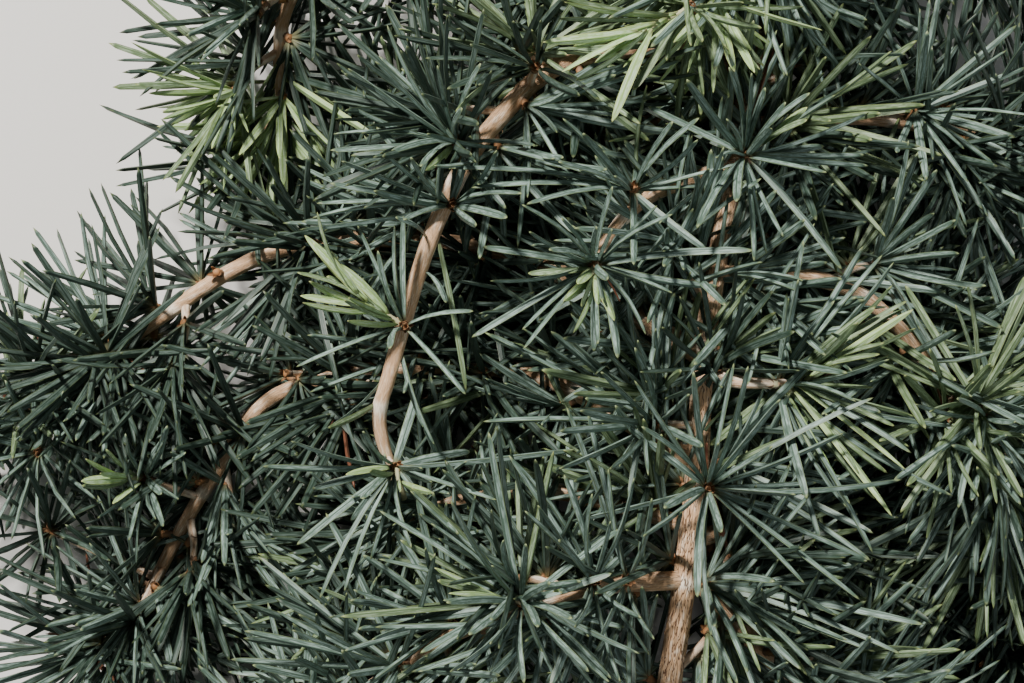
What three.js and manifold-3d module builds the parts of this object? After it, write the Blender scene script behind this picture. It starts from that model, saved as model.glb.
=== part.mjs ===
// A cut branch of a blue-green cedar, lying down, in millimetres with +Z up.
// One woody stem runs up the middle of the spray, from a flat saw cut to its drooping tip. Side shoots
// leave it left and right and carry the needles, and each thick mass of needles is a closed, uneven solid.
// X runs across the spray, Y along it towards the tip, and the ground it lies on is at Z = 0.
import * as THREE from 'three';
import { mergeVertices } from 'three/addons/utils/BufferGeometryUtils.js';
import Module from 'manifold-3d';

const wasm = await Module();
wasm.setup();

// Driving dimensions
const CLEARANCE = 0.3; // gap left round a limb
const MASS_CLEARANCE = 0.9; // gap left between two masses of needles, before their edges are smoothed
const FORWARD_REACH = 23; // how far the needles at a shoot's end stand out past its bud
const ROUNDING = 34; // length over which a mass draws in to its end
const START_SHARE = 0.6; // how thick a mass is where it starts, as a share of its radius
const TIP_SHARE = 0.28; // and at its far end
const LOBES = [[3, 0.09, 4], [2, 0.07, -6], [5, 0.05, 9]]; // count round a mass, height, twist along it
const TUFTS = 0.12; // unevenness from one corner of a mass to the next
const CUT_Y = -153; // plane of the saw cut at the foot of the stem
const STEM_RADII = [3, 1.6]; // at the saw cut and at the tip
const SHOOT_TIP_SHARE = 0.62; // radius of a shoot at its tip, as a share of its radius at the fork
const SOCKET_DEPTH = 12; // how far a shoot's end sits inside its mass of needles
const GROUND = 6; // height of the ground in the routes below, which presses the lowest needles flat
const LIMB_SIDES = 5;
const LIMB_STEP = 20; // length of one straight piece of a limb's skin
const STEM_SIDES = 8;
const LEAST_RINGS = 3;
const MASS_SIDES = 8;
const MASS_STEP = 19;
const MASS_SMOOTHING = 0.4; // slivers thinner than this are smoothed away where masses meet
const WOOD_SMOOTHING = 0.05; // and where a limb runs into a mass

const BARK = { color: 0xb08d6a, roughness: 0.85, metalness: 0 };
const NEEDLES = { color: 0x55705f, roughness: 0.55, metalness: 0 };
const YOUNG_NEEDLES = { color: 0x9db884, roughness: 0.5, metalness: 0 };

// The stem's centreline, from beyond the saw cut to the tip
const STEM_ROUTE = [
  [17, -160, 21],
  [27, -108, 48],
  [33, -62, 70],
  [37, -28, 74],
  [39, 0, 72],
  [46, 38, 66],
  [56, 80, 56],
  [66, 122, 40],
];

// Masses of needles on the stem itself, by their share of its length
const STEM_FOLIAGE = [
  { name: 'needles_star_spur', from: 0.31, to: 0.54, radius: 31 },
  { name: 'needles_stem_tip', from: 0.78, to: 1, radius: 28 },
];

// Side shoots. fork is the Y at which a shoot leaves the stem, route the points it then passes, radius its
// own radius at the fork, and foliage the stretches that carry needles, with how far those stand out.
const SHOOTS = [
  {
    name: 'left_shoot',
    fork: 62,
    route: [[14, 58, 68], [-4, 43, 76], [-15, 23.5, 80], [-24, -5, 78], [-26.5, -17, 75], [-22, -32, 70]],
    radius: 2.3,
    foliage: [
      { name: 'needles_left_upper', from: 0.22, to: 0.5, radius: 27 },
      { name: 'needles_left_young', from: 0.56, to: 0.74, radius: 21, young: true },
      { name: 'needles_left_tip', from: 0.84, to: 1, radius: 26, young: true },
    ],
  },
  {
    name: 'middle_shoot',
    fork: 36,
    route: [[27.6, 29, 78], [18, 19, 86], [15.5, 10, 92]],
    radius: 1.8,
    foliage: [{ name: 'needles_middle', from: 0.45, to: 1, radius: 26, young: true }],
  },
  {
    name: 'top_shoot',
    fork: 106,
    route: [[52, 92, 70], [43, 78, 84], [35.3, 66.6, 88]],
    radius: 1.7,
    foliage: [{ name: 'needles_top', from: 0.4, to: 1, radius: 26, young: true }],
  },
  {
    name: 'upright_shoot',
    fork: 39,
    route: [[46.5, 38, 76], [45.8, 36.7, 84]],
    radius: 1.6,
    foliage: [{ name: 'needles_upright', from: 0.4, to: 1, radius: 29 }],
  },
  {
    name: 'right_spur_shoot',
    fork: -6,
    route: [[45, -8, 77], [52.7, -8.4, 82]],
    radius: 1.7,
    foliage: [{ name: 'needles_right_spur', from: 0.5, to: 1, radius: 27, young: true }],
  },
  {
    name: 'lower_left_shoot',
    fork: -48,
    route: [[18, -48.5, 80], [2.6, -52, 86], [-14.4, -60, 78], [-40, -79, 56]],
    radius: 2,
    foliage: [
      { name: 'needles_lower_left', from: 0.3, to: 0.62, radius: 28 },
      { name: 'needles_lower_left_tip', from: 0.66, to: 1, radius: 28 },
    ],
  },
  {
    name: 'lower_right_shoot',
    fork: -46,
    route: [[47, -58, 71], [52, -65, 68], [82, -92, 48]],
    radius: 1.9,
    foliage: [{ name: 'needles_lower_right', from: 0.3, to: 1, radius: 31 }],
  },
  {
    name: 'right_shoot',
    fork: 14,
    route: [[70, 10, 68], [93, -14, 62], [103, -26, 57], [116, -50, 42]],
    radius: 1.9,
    foliage: [{ name: 'needles_right', from: 0.38, to: 1, radius: 29 }],
  },
  {
    name: 'right_upper_shoot',
    fork: 44,
    route: [[75, 46, 62], [105, 40, 50], [126, 28, 38]],
    radius: 1.9,
    foliage: [{ name: 'needles_right_upper', from: 0.3, to: 1, radius: 31 }],
  },
  {
    name: 'tip_right_shoot',
    fork: 74,
    route: [[80, 86, 54], [112, 98, 38]],
    radius: 1.7,
    foliage: [{ name: 'needles_tip_right', from: 0.38, to: 1, radius: 29 }],
  },
  {
    name: 'upper_left_shoot',
    fork: 54,
    route: [[12, 80, 50], [-30, 90, 44], [-48, 72, 42], [-50, 46, 38]],
    radius: 2.2,
    foliage: [
      { name: 'needles_upper_left', from: 0.25, to: 0.6, radius: 28 },
      { name: 'needles_upper_left_tip', from: 0.72, to: 1, radius: 28 },
    ],
  },
  {
    name: 'far_left_shoot',
    fork: -3,
    route: [[0, 18, 54], [-45, 20.5, 47], [-77, 4, 42], [-104, -17, 32]],
    radius: 2.3,
    foliage: [
      { name: 'needles_far_left', from: 0.27, to: 0.6, radius: 29 },
      { name: 'needles_far_left_tip', from: 0.66, to: 1, radius: 31 },
    ],
  },
  {
    name: 'far_lower_left_shoot',
    fork: -24,
    route: [[0, -6, 54], [-47, -10, 46], [-66, -32, 42], [-84, -64, 30]],
    radius: 2.2,
    foliage: [
      { name: 'needles_far_lower_left', from: 0.3, to: 0.58, radius: 27 },
      { name: 'needles_far_lower_left_tip', from: 0.64, to: 1, radius: 31 },
    ],
  },
  {
    name: 'hanging_shoot',
    fork: -37,
    route: [[6, -31, 58], [-18, -36, 54], [-32, -50, 48], [-40, -66, 38]],
    radius: 1.8,
    foliage: [{ name: 'needles_hanging', from: 0.5, to: 1, radius: 27 }],
  },
  {
    name: 'base_left_shoot',
    fork: -84,
    route: [[0, -86, 44], [-34, -96, 30], [-62, -108, 25]],
    radius: 2,
    foliage: [{ name: 'needles_base_left', from: 0.32, to: 1, radius: 29 }],
  },
  {
    name: 'base_right_shoot',
    fork: -94,
    route: [[56, -104, 38], [90, -118, 25]],
    radius: 2,
    foliage: [{ name: 'needles_base_right', from: 0.35, to: 1, radius: 29 }],
  },
  {
    name: 'under_lower_right_shoot',
    fork: -40,
    route: [[62, -38, 42], [94, -58, 27], [116, -80, 24]],
    radius: 1.9,
    foliage: [{ name: 'needles_under_lower_right', from: 0.35, to: 1, radius: 29 }],
  },
  {
    name: 'under_right_shoot',
    fork: 26,
    route: [[70, 12, 40], [108, 2, 26]],
    radius: 1.9,
    foliage: [{ name: 'needles_under_right', from: 0.35, to: 1, radius: 31 }],
  },
  {
    name: 'under_left_shoot',
    fork: 10,
    route: [[12, 8, 38], [-36, -2, 24]],
    radius: 1.9,
    foliage: [{ name: 'needles_under_left', from: 0.3, to: 1, radius: 29 }],
  },
  {
    name: 'under_upper_left_shoot',
    fork: 48,
    route: [[18, 46, 38], [-16, 46, 27], [-34, 40, 24]],
    radius: 1.9,
    foliage: [{ name: 'needles_under_upper_left', from: 0.35, to: 1, radius: 28 }],
  },
  {
    name: 'tip_left_shoot',
    fork: 90,
    route: [[36, 106, 40], [8, 118, 26]],
    radius: 1.8,
    foliage: [{ name: 'needles_tip_left', from: 0.3, to: 1, radius: 29 }],
  },
];

// A number from 0 to 1 that is always the same for one name and count
function chance(name, count) {
  let hash = 2166136261 ^ count;
  for (const letter of name) hash = Math.imul(hash ^ letter.charCodeAt(0), 16777619);
  hash = Math.imul(hash ^ (hash >>> 15), 2246822507);
  hash = Math.imul(hash ^ (hash >>> 13), 3266489909);
  return ((hash ^ (hash >>> 16)) >>> 0) / 4294967296;
}

function routeCurve(points) {
  return new THREE.CatmullRomCurve3(points, false, 'catmullrom', 0.5);
}

// A point of a route by its share of the length. Past the end it goes straight on.
function pointAlong(curve, share) {
  const point = curve.getPointAt(Math.min(share, 1));
  if (share > 1) point.addScaledVector(curve.getTangentAt(1), (share - 1) * curve.getLength());
  return point;
}

// The closed skin swept along a route between two shares of its length, with growth added all round and
// at both ends. radiusAt takes how far along the sweep a ring is, from 0 to 1, the angle round it, and
// the count of the vertex.
function sweep(curve, from, to, radiusAt, sides, step, growth) {
  const length = curve.getLength();
  const rings = Math.max(LEAST_RINGS, Math.round(((to - from) * length) / step));
  const positions = [];
  const normal = new THREE.Vector3();
  const across = new THREE.Vector3();
  const centres = Array.from({ length: rings + 1 }, (_, i) => pointAlong(curve, from + ((to - from) * i) / rings));
  const tangents = centres.map((_, i) =>
    new THREE.Vector3().subVectors(centres[Math.min(i + 1, rings)], centres[Math.max(i - 1, 0)]).normalize());
  centres[0].addScaledVector(tangents[0], -growth);
  centres[rings].addScaledVector(tangents[rings], growth);
  normal.set(tangents[0].y, -tangents[0].x, 0.1).cross(tangents[0]).normalize();
  positions.push(...centres[0]);
  centres.forEach((centre, i) => {
    normal.addScaledVector(tangents[i], -normal.dot(tangents[i])).normalize();
    across.crossVectors(tangents[i], normal);
    for (let k = 0; k < sides; k++) {
      const angle = (2 * Math.PI * k) / sides;
      const radius = radiusAt(i / rings, angle, i * sides + k) + growth;
      positions.push(...centre.clone()
        .addScaledVector(normal, radius * Math.cos(angle))
        .addScaledVector(across, radius * Math.sin(angle)));
    }
  });
  positions.push(...centres[rings]);
  const last = positions.length / 3 - 1;
  const faces = [];
  for (let k = 0; k < sides; k++) {
    const next = (k + 1) % sides;
    faces.push(0, 1 + next, 1 + k);
    for (let i = 0; i < rings; i++) {
      const ring = 1 + i * sides;
      faces.push(ring + k, ring + next, ring + sides + k);
      faces.push(ring + next, ring + sides + next, ring + sides + k);
    }
    faces.push(last, last - sides + k, last - sides + next);
  }
  const geometry = new THREE.BufferGeometry();
  geometry.setAttribute('position', new THREE.Float32BufferAttribute(positions, 3));
  geometry.setIndex(faces);
  return geometry;
}

function toSolid(geometry) {
  const merged = geometry.clone();
  merged.deleteAttribute('normal');
  merged.deleteAttribute('uv');
  const welded = mergeVertices(merged, 1e-4);
  return new wasm.Manifold(new wasm.Mesh({
    numProp: 3,
    vertProperties: new Float32Array(welded.attributes.position.array),
    triVerts: new Uint32Array(welded.index.array),
  }));
}

function toGeometry(solid) {
  const mesh = solid.getMesh();
  const geometry = new THREE.BufferGeometry();
  const positions = new Float32Array(mesh.numVert * 3);
  for (let i = 0; i < mesh.numVert; i++) {
    positions.set(mesh.vertProperties.subarray(i * mesh.numProp, i * mesh.numProp + 3), i * 3);
  }
  geometry.setAttribute('position', new THREE.BufferAttribute(positions, 3));
  geometry.setIndex(new THREE.BufferAttribute(mesh.triVerts, 1));
  return geometry;
}

// The largest body of a solid, so that a cut leaves no crumbs behind
function largestBody(solid) {
  return solid.decompose().reduce((a, b) => (b.volume() > a.volume() ? b : a));
}

function boxSolid(low, high) {
  const size = new THREE.Vector3().subVectors(high, low);
  const box = new THREE.BoxGeometry(size.x, size.y, size.z);
  box.translate(...new THREE.Vector3().addVectors(low, high).multiplyScalar(0.5));
  return toSolid(box);
}

const FAR = 500;
const pastTheCut = boxSolid(new THREE.Vector3(-FAR, CUT_Y, -FAR), new THREE.Vector3(FAR, FAR, FAR));

const stemCurve = routeCurve(STEM_ROUTE.map((p) => new THREE.Vector3(...p)));

// The point of the stem's centreline at one Y, found by halving, as the stem runs steadily along Y
function stemPoint(y) {
  let low = 0;
  let high = 1;
  for (let i = 0; i < 30; i++) {
    const middle = (low + high) / 2;
    if (stemCurve.getPointAt(middle).y < y) low = middle;
    else high = middle;
  }
  return stemCurve.getPointAt(low);
}

// A round limb that tapers evenly from one radius to another and stops at a share of its route. With a
// growth it is the space that the limb takes up together with the gap round it.
function limb(curve, end, radii, sides, growth) {
  const radiusAt = (share) => THREE.MathUtils.lerp(radii[0], radii[1], share * end);
  return toSolid(sweep(curve, 0, end, radiusAt, sides, LIMB_STEP, growth));
}

// A mass of needles: thick round its middle, drawn in at both ends, and uneven in its own way
function needleMass(curve, foliage, growth) {
  const length = curve.getLength();
  const to = foliage.to + (foliage.to === 1 ? FORWARD_REACH / length : 0);
  const radiusAt = (share, angle, count) => {
    const fromTip = Math.min(1, ((1 - share) * (to - foliage.from) * length) / ROUNDING);
    const start = Math.min(1, START_SHARE + 2 * share);
    const tip = Math.hypot(TIP_SHARE, Math.sqrt((1 - TIP_SHARE ** 2) * (1 - (1 - fromTip) ** 2)));
    const lobes = LOBES.reduce((sum, [around, height, twist], i) =>
      sum + height * Math.sin(around * angle + twist * share + 2 * Math.PI * chance(foliage.name, i)), 0);
    const tufts = TUFTS * (chance(foliage.name, LOBES.length + count) - 0.5);
    return foliage.radius * start * tip * (1 + lobes + tufts);
  };
  return toSolid(sweep(curve, foliage.from, to, radiusAt, MASS_SIDES, MASS_STEP, growth));
}

function namedMesh(name, solid, looks) {
  const mesh = new THREE.Mesh(toGeometry(solid), new THREE.MeshStandardMaterial(looks));
  mesh.name = name;
  return mesh;
}

const branch = new THREE.Group();

// The stem, whole from the saw cut to its tip
const stem = limb(stemCurve, 1, STEM_RADII, STEM_SIDES, 0).intersect(pastTheCut);
let wood = limb(stemCurve, 1, STEM_RADII, STEM_SIDES, CLEARANCE);
branch.add(namedMesh('main_stem', stem, BARK));

// The side shoots, each cut to sit against the wood that was there before it
const foliageStretches = STEM_FOLIAGE.map((foliage) => ({ curve: stemCurve, foliage }));
for (const shoot of SHOOTS) {
  const curve = routeCurve([stemPoint(shoot.fork), ...shoot.route.map((p) => new THREE.Vector3(...p))]);
  const end = shoot.foliage.at(-1).from + SOCKET_DEPTH / curve.getLength();
  const radii = [shoot.radius, shoot.radius * SHOOT_TIP_SHARE];
  const solid = largestBody(limb(curve, end, radii, LIMB_SIDES, 0).subtract(wood));
  branch.add(namedMesh(shoot.name, solid, BARK));
  wood = wood.add(limb(curve, end, radii, LIMB_SIDES, CLEARANCE));
  shoot.foliage.forEach((foliage) => foliageStretches.push({ curve, foliage }));
}

// The masses of needles, upper ones first, each cut round the wood and round the masses above it
let taken = boxSolid(new THREE.Vector3(-FAR, -FAR, -FAR), new THREE.Vector3(FAR, FAR, GROUND));
for (const { curve, foliage } of foliageStretches) {
  const open = largestBody(needleMass(curve, foliage, 0).subtract(taken)).simplify(MASS_SMOOTHING);
  const solid = largestBody(open.subtract(wood)).simplify(WOOD_SMOOTHING);
  branch.add(namedMesh(foliage.name, solid, foliage.young ? YOUNG_NEEDLES : NEEDLES));
  taken = taken.add(needleMass(curve, foliage, MASS_CLEARANCE));
}

// The origin is on the ground, under the middle of the spray's box
const box = new THREE.Box3().setFromObject(branch);
const middle = box.getCenter(new THREE.Vector3());
branch.position.set(-middle.x, -middle.y, -box.min.z);

export default branch;
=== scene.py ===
"""A cut branch of a blue-green cedar, lying down: bark, short shoots, bud scales and sprays of needles.

Routes and sizes inside this file are in millimetres, in the frame of the branch's own routes, and every mesh
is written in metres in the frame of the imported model.
"""
import functools
import math
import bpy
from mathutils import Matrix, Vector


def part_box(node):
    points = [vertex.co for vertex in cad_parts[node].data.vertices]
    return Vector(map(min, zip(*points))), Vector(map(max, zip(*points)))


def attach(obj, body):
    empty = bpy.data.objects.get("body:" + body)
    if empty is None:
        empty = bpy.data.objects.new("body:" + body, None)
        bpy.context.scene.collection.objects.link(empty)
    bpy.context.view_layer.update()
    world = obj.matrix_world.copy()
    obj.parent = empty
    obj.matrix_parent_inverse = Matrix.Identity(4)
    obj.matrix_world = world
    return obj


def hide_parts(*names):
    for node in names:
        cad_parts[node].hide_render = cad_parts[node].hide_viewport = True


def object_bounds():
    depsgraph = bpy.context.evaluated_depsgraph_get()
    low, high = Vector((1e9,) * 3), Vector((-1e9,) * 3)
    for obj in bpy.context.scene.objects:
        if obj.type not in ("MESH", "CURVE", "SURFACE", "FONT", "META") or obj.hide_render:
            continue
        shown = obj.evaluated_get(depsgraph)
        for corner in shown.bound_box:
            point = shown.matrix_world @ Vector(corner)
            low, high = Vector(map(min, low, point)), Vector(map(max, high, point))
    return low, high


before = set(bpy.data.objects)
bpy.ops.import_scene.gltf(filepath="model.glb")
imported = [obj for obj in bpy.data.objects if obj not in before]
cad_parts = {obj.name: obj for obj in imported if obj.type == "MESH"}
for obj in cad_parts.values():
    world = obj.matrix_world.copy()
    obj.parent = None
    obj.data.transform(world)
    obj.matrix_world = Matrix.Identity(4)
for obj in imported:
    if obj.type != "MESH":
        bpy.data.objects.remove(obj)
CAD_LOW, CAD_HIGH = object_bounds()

import zlib
from collections import namedtuple

import bpy
import numpy as np
from mathutils import Vector

bl_info = {
    "name": "Cedar branch",
    "version": (1, 0, 0),
    "blender": (4, 5, 0),
    "location": "3D View > Sidebar > Cedar",
    "description": "Grows a cut cedar branch on the frame of its stem and side shoots",
    "category": "Add Mesh",
}

MM = 0.001
GOLDEN_TURN = math.radians(137.508)
UP = np.array([0.0, 0.0, 1.0])
TINY = 1e-6
# The Y of the saw cut, and the height at which the photograph is sharpest
CUT_Y = -153.0
FOCUS_HEIGHT = 76.0
MOST_TRIANGLES = 200_000
# A shoot's radius at its tip, as a share of that at its foot
SHOOT_TIP_SHARE = 0.62

# A shoot leaves the stem at the Y given as its fork. Its foliage starts and ends at shares of its length,
# and reaches so far out from it.
Shoot = namedtuple("Shoot", "name fork route radius foliage")
Foliage = namedtuple("Foliage", "name start end reach young")

STEM_ROUTE = (
    (17, -160, 21), (27, -108, 48), (33, -62, 70), (37, -28, 74),
    (39, 0, 72), (46, 38, 66), (56, 80, 56), (66, 122, 40),
)
STEM_RADII = (3.0, 1.6)
STEM_FOLIAGE = (
    Foliage("needles_star_spur", 0.31, 0.54, 31, False),
    Foliage("needles_stem_tip", 0.79, 1.0, 28, False),
)

# The side shoots, as the CAD has them: where each leaves the stem, its route, and where it carries needles
SHOOTS = (
    Shoot("left_shoot", 62,
          ((14, 58, 68), (-4, 43, 76), (-15, 23.5, 80), (-24, -5, 78), (-26.5, -17, 75), (-22, -32, 70)), 2.3,
          (Foliage("needles_left_upper", 0.22, 0.5, 27, False),
           Foliage("needles_left_young", 0.56, 0.74, 21, True),
           Foliage("needles_left_tip", 0.84, 1.0, 26, True))),
    Shoot("middle_shoot", 36, ((27.6, 29, 78), (18, 19, 86), (15.5, 10, 92)), 1.8,
          (Foliage("needles_middle", 0.45, 1.0, 26, True),)),
    Shoot("top_shoot", 106, ((52, 92, 70), (43, 78, 84), (35.3, 66.6, 88)), 1.7,
          (Foliage("needles_top", 0.4, 1.0, 26, True),)),
    Shoot("upright_shoot", 39, ((46.5, 38, 76), (45.8, 36.7, 84)), 1.6,
          (Foliage("needles_upright", 0.4, 1.0, 29, False),)),
    Shoot("right_spur_shoot", -6, ((45, -8, 77), (52.7, -8.4, 82)), 1.7,
          (Foliage("needles_right_spur", 0.5, 1.0, 27, True),)),
    Shoot("lower_left_shoot", -48, ((18, -48.5, 80), (2.6, -52, 86), (-14.4, -60, 78), (-40, -79, 56)), 2.0,
          (Foliage("needles_lower_left", 0.3, 0.62, 28, False),
           Foliage("needles_lower_left_tip", 0.66, 1.0, 28, False))),
    Shoot("lower_right_shoot", -46, ((47, -58, 71), (52, -65, 68), (82, -92, 48)), 1.9,
          (Foliage("needles_lower_right", 0.3, 1.0, 31, False),)),
    Shoot("right_shoot", 14, ((70, 10, 68), (93, -14, 62), (103, -26, 57), (116, -50, 42)), 1.9,
          (Foliage("needles_right", 0.38, 1.0, 29, False),)),
    Shoot("right_upper_shoot", 44, ((75, 46, 62), (105, 40, 50), (126, 28, 38)), 1.9,
          (Foliage("needles_right_upper", 0.3, 1.0, 31, False),)),
    Shoot("tip_right_shoot", 74, ((80, 86, 54), (112, 98, 38)), 1.7,
          (Foliage("needles_tip_right", 0.38, 1.0, 29, False),)),
    Shoot("upper_left_shoot", 54, ((12, 80, 50), (-30, 90, 44), (-48, 72, 42), (-50, 46, 38)), 2.2,
          (Foliage("needles_upper_left", 0.25, 0.6, 28, False),
           Foliage("needles_upper_left_tip", 0.72, 1.0, 28, False))),
    Shoot("far_left_shoot", -3, ((0, 18, 54), (-45, 20.5, 47), (-77, 4, 42), (-104, -17, 32)), 2.3,
          (Foliage("needles_far_left", 0.27, 0.6, 29, False),
           Foliage("needles_far_left_tip", 0.66, 1.0, 31, False))),
    Shoot("far_lower_left_shoot", -24, ((0, -6, 54), (-47, -10, 46), (-66, -32, 42), (-84, -64, 30)), 2.2,
          (Foliage("needles_far_lower_left", 0.3, 0.58, 27, False),
           Foliage("needles_far_lower_left_tip", 0.64, 1.0, 31, False))),
    Shoot("hanging_shoot", -37, ((6, -31, 58), (-18, -36, 54), (-32, -50, 48), (-40, -66, 38)), 1.8,
          (Foliage("needles_hanging", 0.5, 1.0, 27, False),)),
    Shoot("base_left_shoot", -84, ((0, -86, 44), (-34, -96, 30), (-62, -108, 25)), 2.0,
          (Foliage("needles_base_left", 0.32, 1.0, 29, False),)),
    Shoot("base_right_shoot", -94, ((56, -104, 38), (90, -118, 25)), 2.0,
          (Foliage("needles_base_right", 0.35, 1.0, 29, False),)),
    Shoot("under_lower_right_shoot", -40, ((62, -38, 42), (94, -58, 27), (116, -80, 24)), 1.9,
          (Foliage("needles_under_lower_right", 0.35, 1.0, 29, False),)),
    Shoot("under_right_shoot", 26, ((70, 12, 40), (108, 2, 26)), 1.9,
          (Foliage("needles_under_right", 0.35, 1.0, 31, False),)),
    Shoot("under_left_shoot", 10, ((12, 8, 38), (-36, -2, 24)), 1.9,
          (Foliage("needles_under_left", 0.3, 1.0, 29, False),)),
    Shoot("under_upper_left_shoot", 48, ((18, 46, 38), (-16, 46, 27), (-34, 40, 24)), 1.9,
          (Foliage("needles_under_upper_left", 0.35, 1.0, 28, False),)),
    Shoot("tip_left_shoot", 90, ((36, 106, 40), (8, 118, 26)), 1.8,
          (Foliage("needles_tip_left", 0.3, 1.0, 29, False),)),
)


# Routes


class Route:
    """A smooth line through points, in millimetres, measured along its length."""

    SAMPLES = 60

    def __init__(self, points):
        points = np.array(points, float)
        ends = np.array([2 * points[0] - points[1], *points, 2 * points[-1] - points[-2]])
        t = np.linspace(0, 1, self.SAMPLES, endpoint=False)[:, None]
        spans = []
        for before, here, there, after in zip(ends, ends[1:], ends[2:], ends[3:]):
            leave, arrive = (there - before) / 2, (after - here) / 2
            bend = 3 * (there - here) - 2 * leave - arrive
            turn = 2 * (here - there) + leave + arrive
            spans.append(here + leave * t + bend * t ** 2 + turn * t ** 3)
        self.line = np.concatenate([*spans, points[-1:]])
        steps = np.linalg.norm(np.diff(self.line, axis=0), axis=1)
        self.along = np.concatenate([[0], np.cumsum(steps)])
        self.length = float(self.along[-1])

    def at(self, distance):
        return np.stack([np.interp(distance, self.along, self.line[:, k]) for k in range(3)], axis=-1)

    def heading(self, distance):
        step = 0.5
        ahead = self.at(np.minimum(distance + step, self.length))
        return unit(ahead - self.at(np.maximum(np.asarray(distance) - step, 0)))

    def nearest(self, point):
        """The point of the route that lies nearest to a point."""
        return self.line[np.argmin(np.linalg.norm(self.line - point, axis=1))]

    def where_y(self, y):
        """The distance along a route that runs steadily along Y at which it reaches y."""
        return float(np.interp(y, self.line[:, 1], self.along))


def unit(vectors):
    vectors = np.asarray(vectors, float)
    return vectors / np.linalg.norm(vectors, axis=-1, keepdims=True)


def square_to(axis, hint):
    """The unit vector square to axis that lies nearest to hint, or any such vector if hint is no help."""
    axis = unit(axis)
    across = np.asarray(hint, float) - np.sum(axis * hint, axis=-1, keepdims=True) * axis
    if np.linalg.norm(across) < TINY:
        across = np.cross(axis, [0.31, 0.95, 0.12])
    return unit(across)


def turned(axis, side, angle):
    """side turned about axis by an angle, both unit vectors square to each other."""
    return side * math.cos(angle) + np.cross(axis, side) * math.sin(angle)


STEM = Route(STEM_ROUTE)


def shoot_route(shoot):
    return Route([STEM.at(STEM.where_y(shoot.fork)), *shoot.route])


def routes_to_frame():
    """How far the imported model's origin moved the routes, in millimetres, measured at the saw cut."""
    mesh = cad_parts["main_stem"].data
    corners = np.array([v.co for v in mesh.vertices]) / MM
    foot = corners[:, 1].min()
    rim = np.unique(np.round(corners[corners[:, 1] < foot + 0.01], 3), axis=0)
    return rim.mean(axis=0) - STEM.at(STEM.where_y(CUT_Y))


SHIFT = routes_to_frame()


def in_metres(points):
    return (np.asarray(points, float) + SHIFT) * MM


def seeded(name, seed):
    return np.random.default_rng([seed, zlib.crc32(name.encode())])


# Rosettes that the photograph shows sharply


# Millimetres to a pixel at the sharpest depth, the middle pixel, and the camera's distance from that depth
PIXEL = 0.2
PHOTO_MIDDLE = (512.0, 341.5)
CAMERA_DISTANCE = 484.0


def pixel_size(height):
    """Millimetres to a pixel at a height."""
    return PIXEL * (1 - (height - FOCUS_HEIGHT) / CAMERA_DISTANCE)


def from_photo(pixel, height):
    """The point that the photograph shows at a pixel, at a given height."""
    size = pixel_size(height)
    return np.array([(pixel[0] - PHOTO_MIDDLE[0]) * size, (PHOTO_MIDDLE[1] - pixel[1]) * size, height])


# A rosette on a limb: the pixel and height of its middle, the length of its needles, and the pixels at which
# their ends are seen, the full-grown ones first and then the pale young ones. The young ones stand along a
# line from the middle to another pixel, and their breadth is given as a share of a full-grown one's.
Rosette = namedtuple("Rosette", "name limb pixel height kind length ends young_ends young_line young_breadth",
                     defaults=((), None, 1.05))

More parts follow.
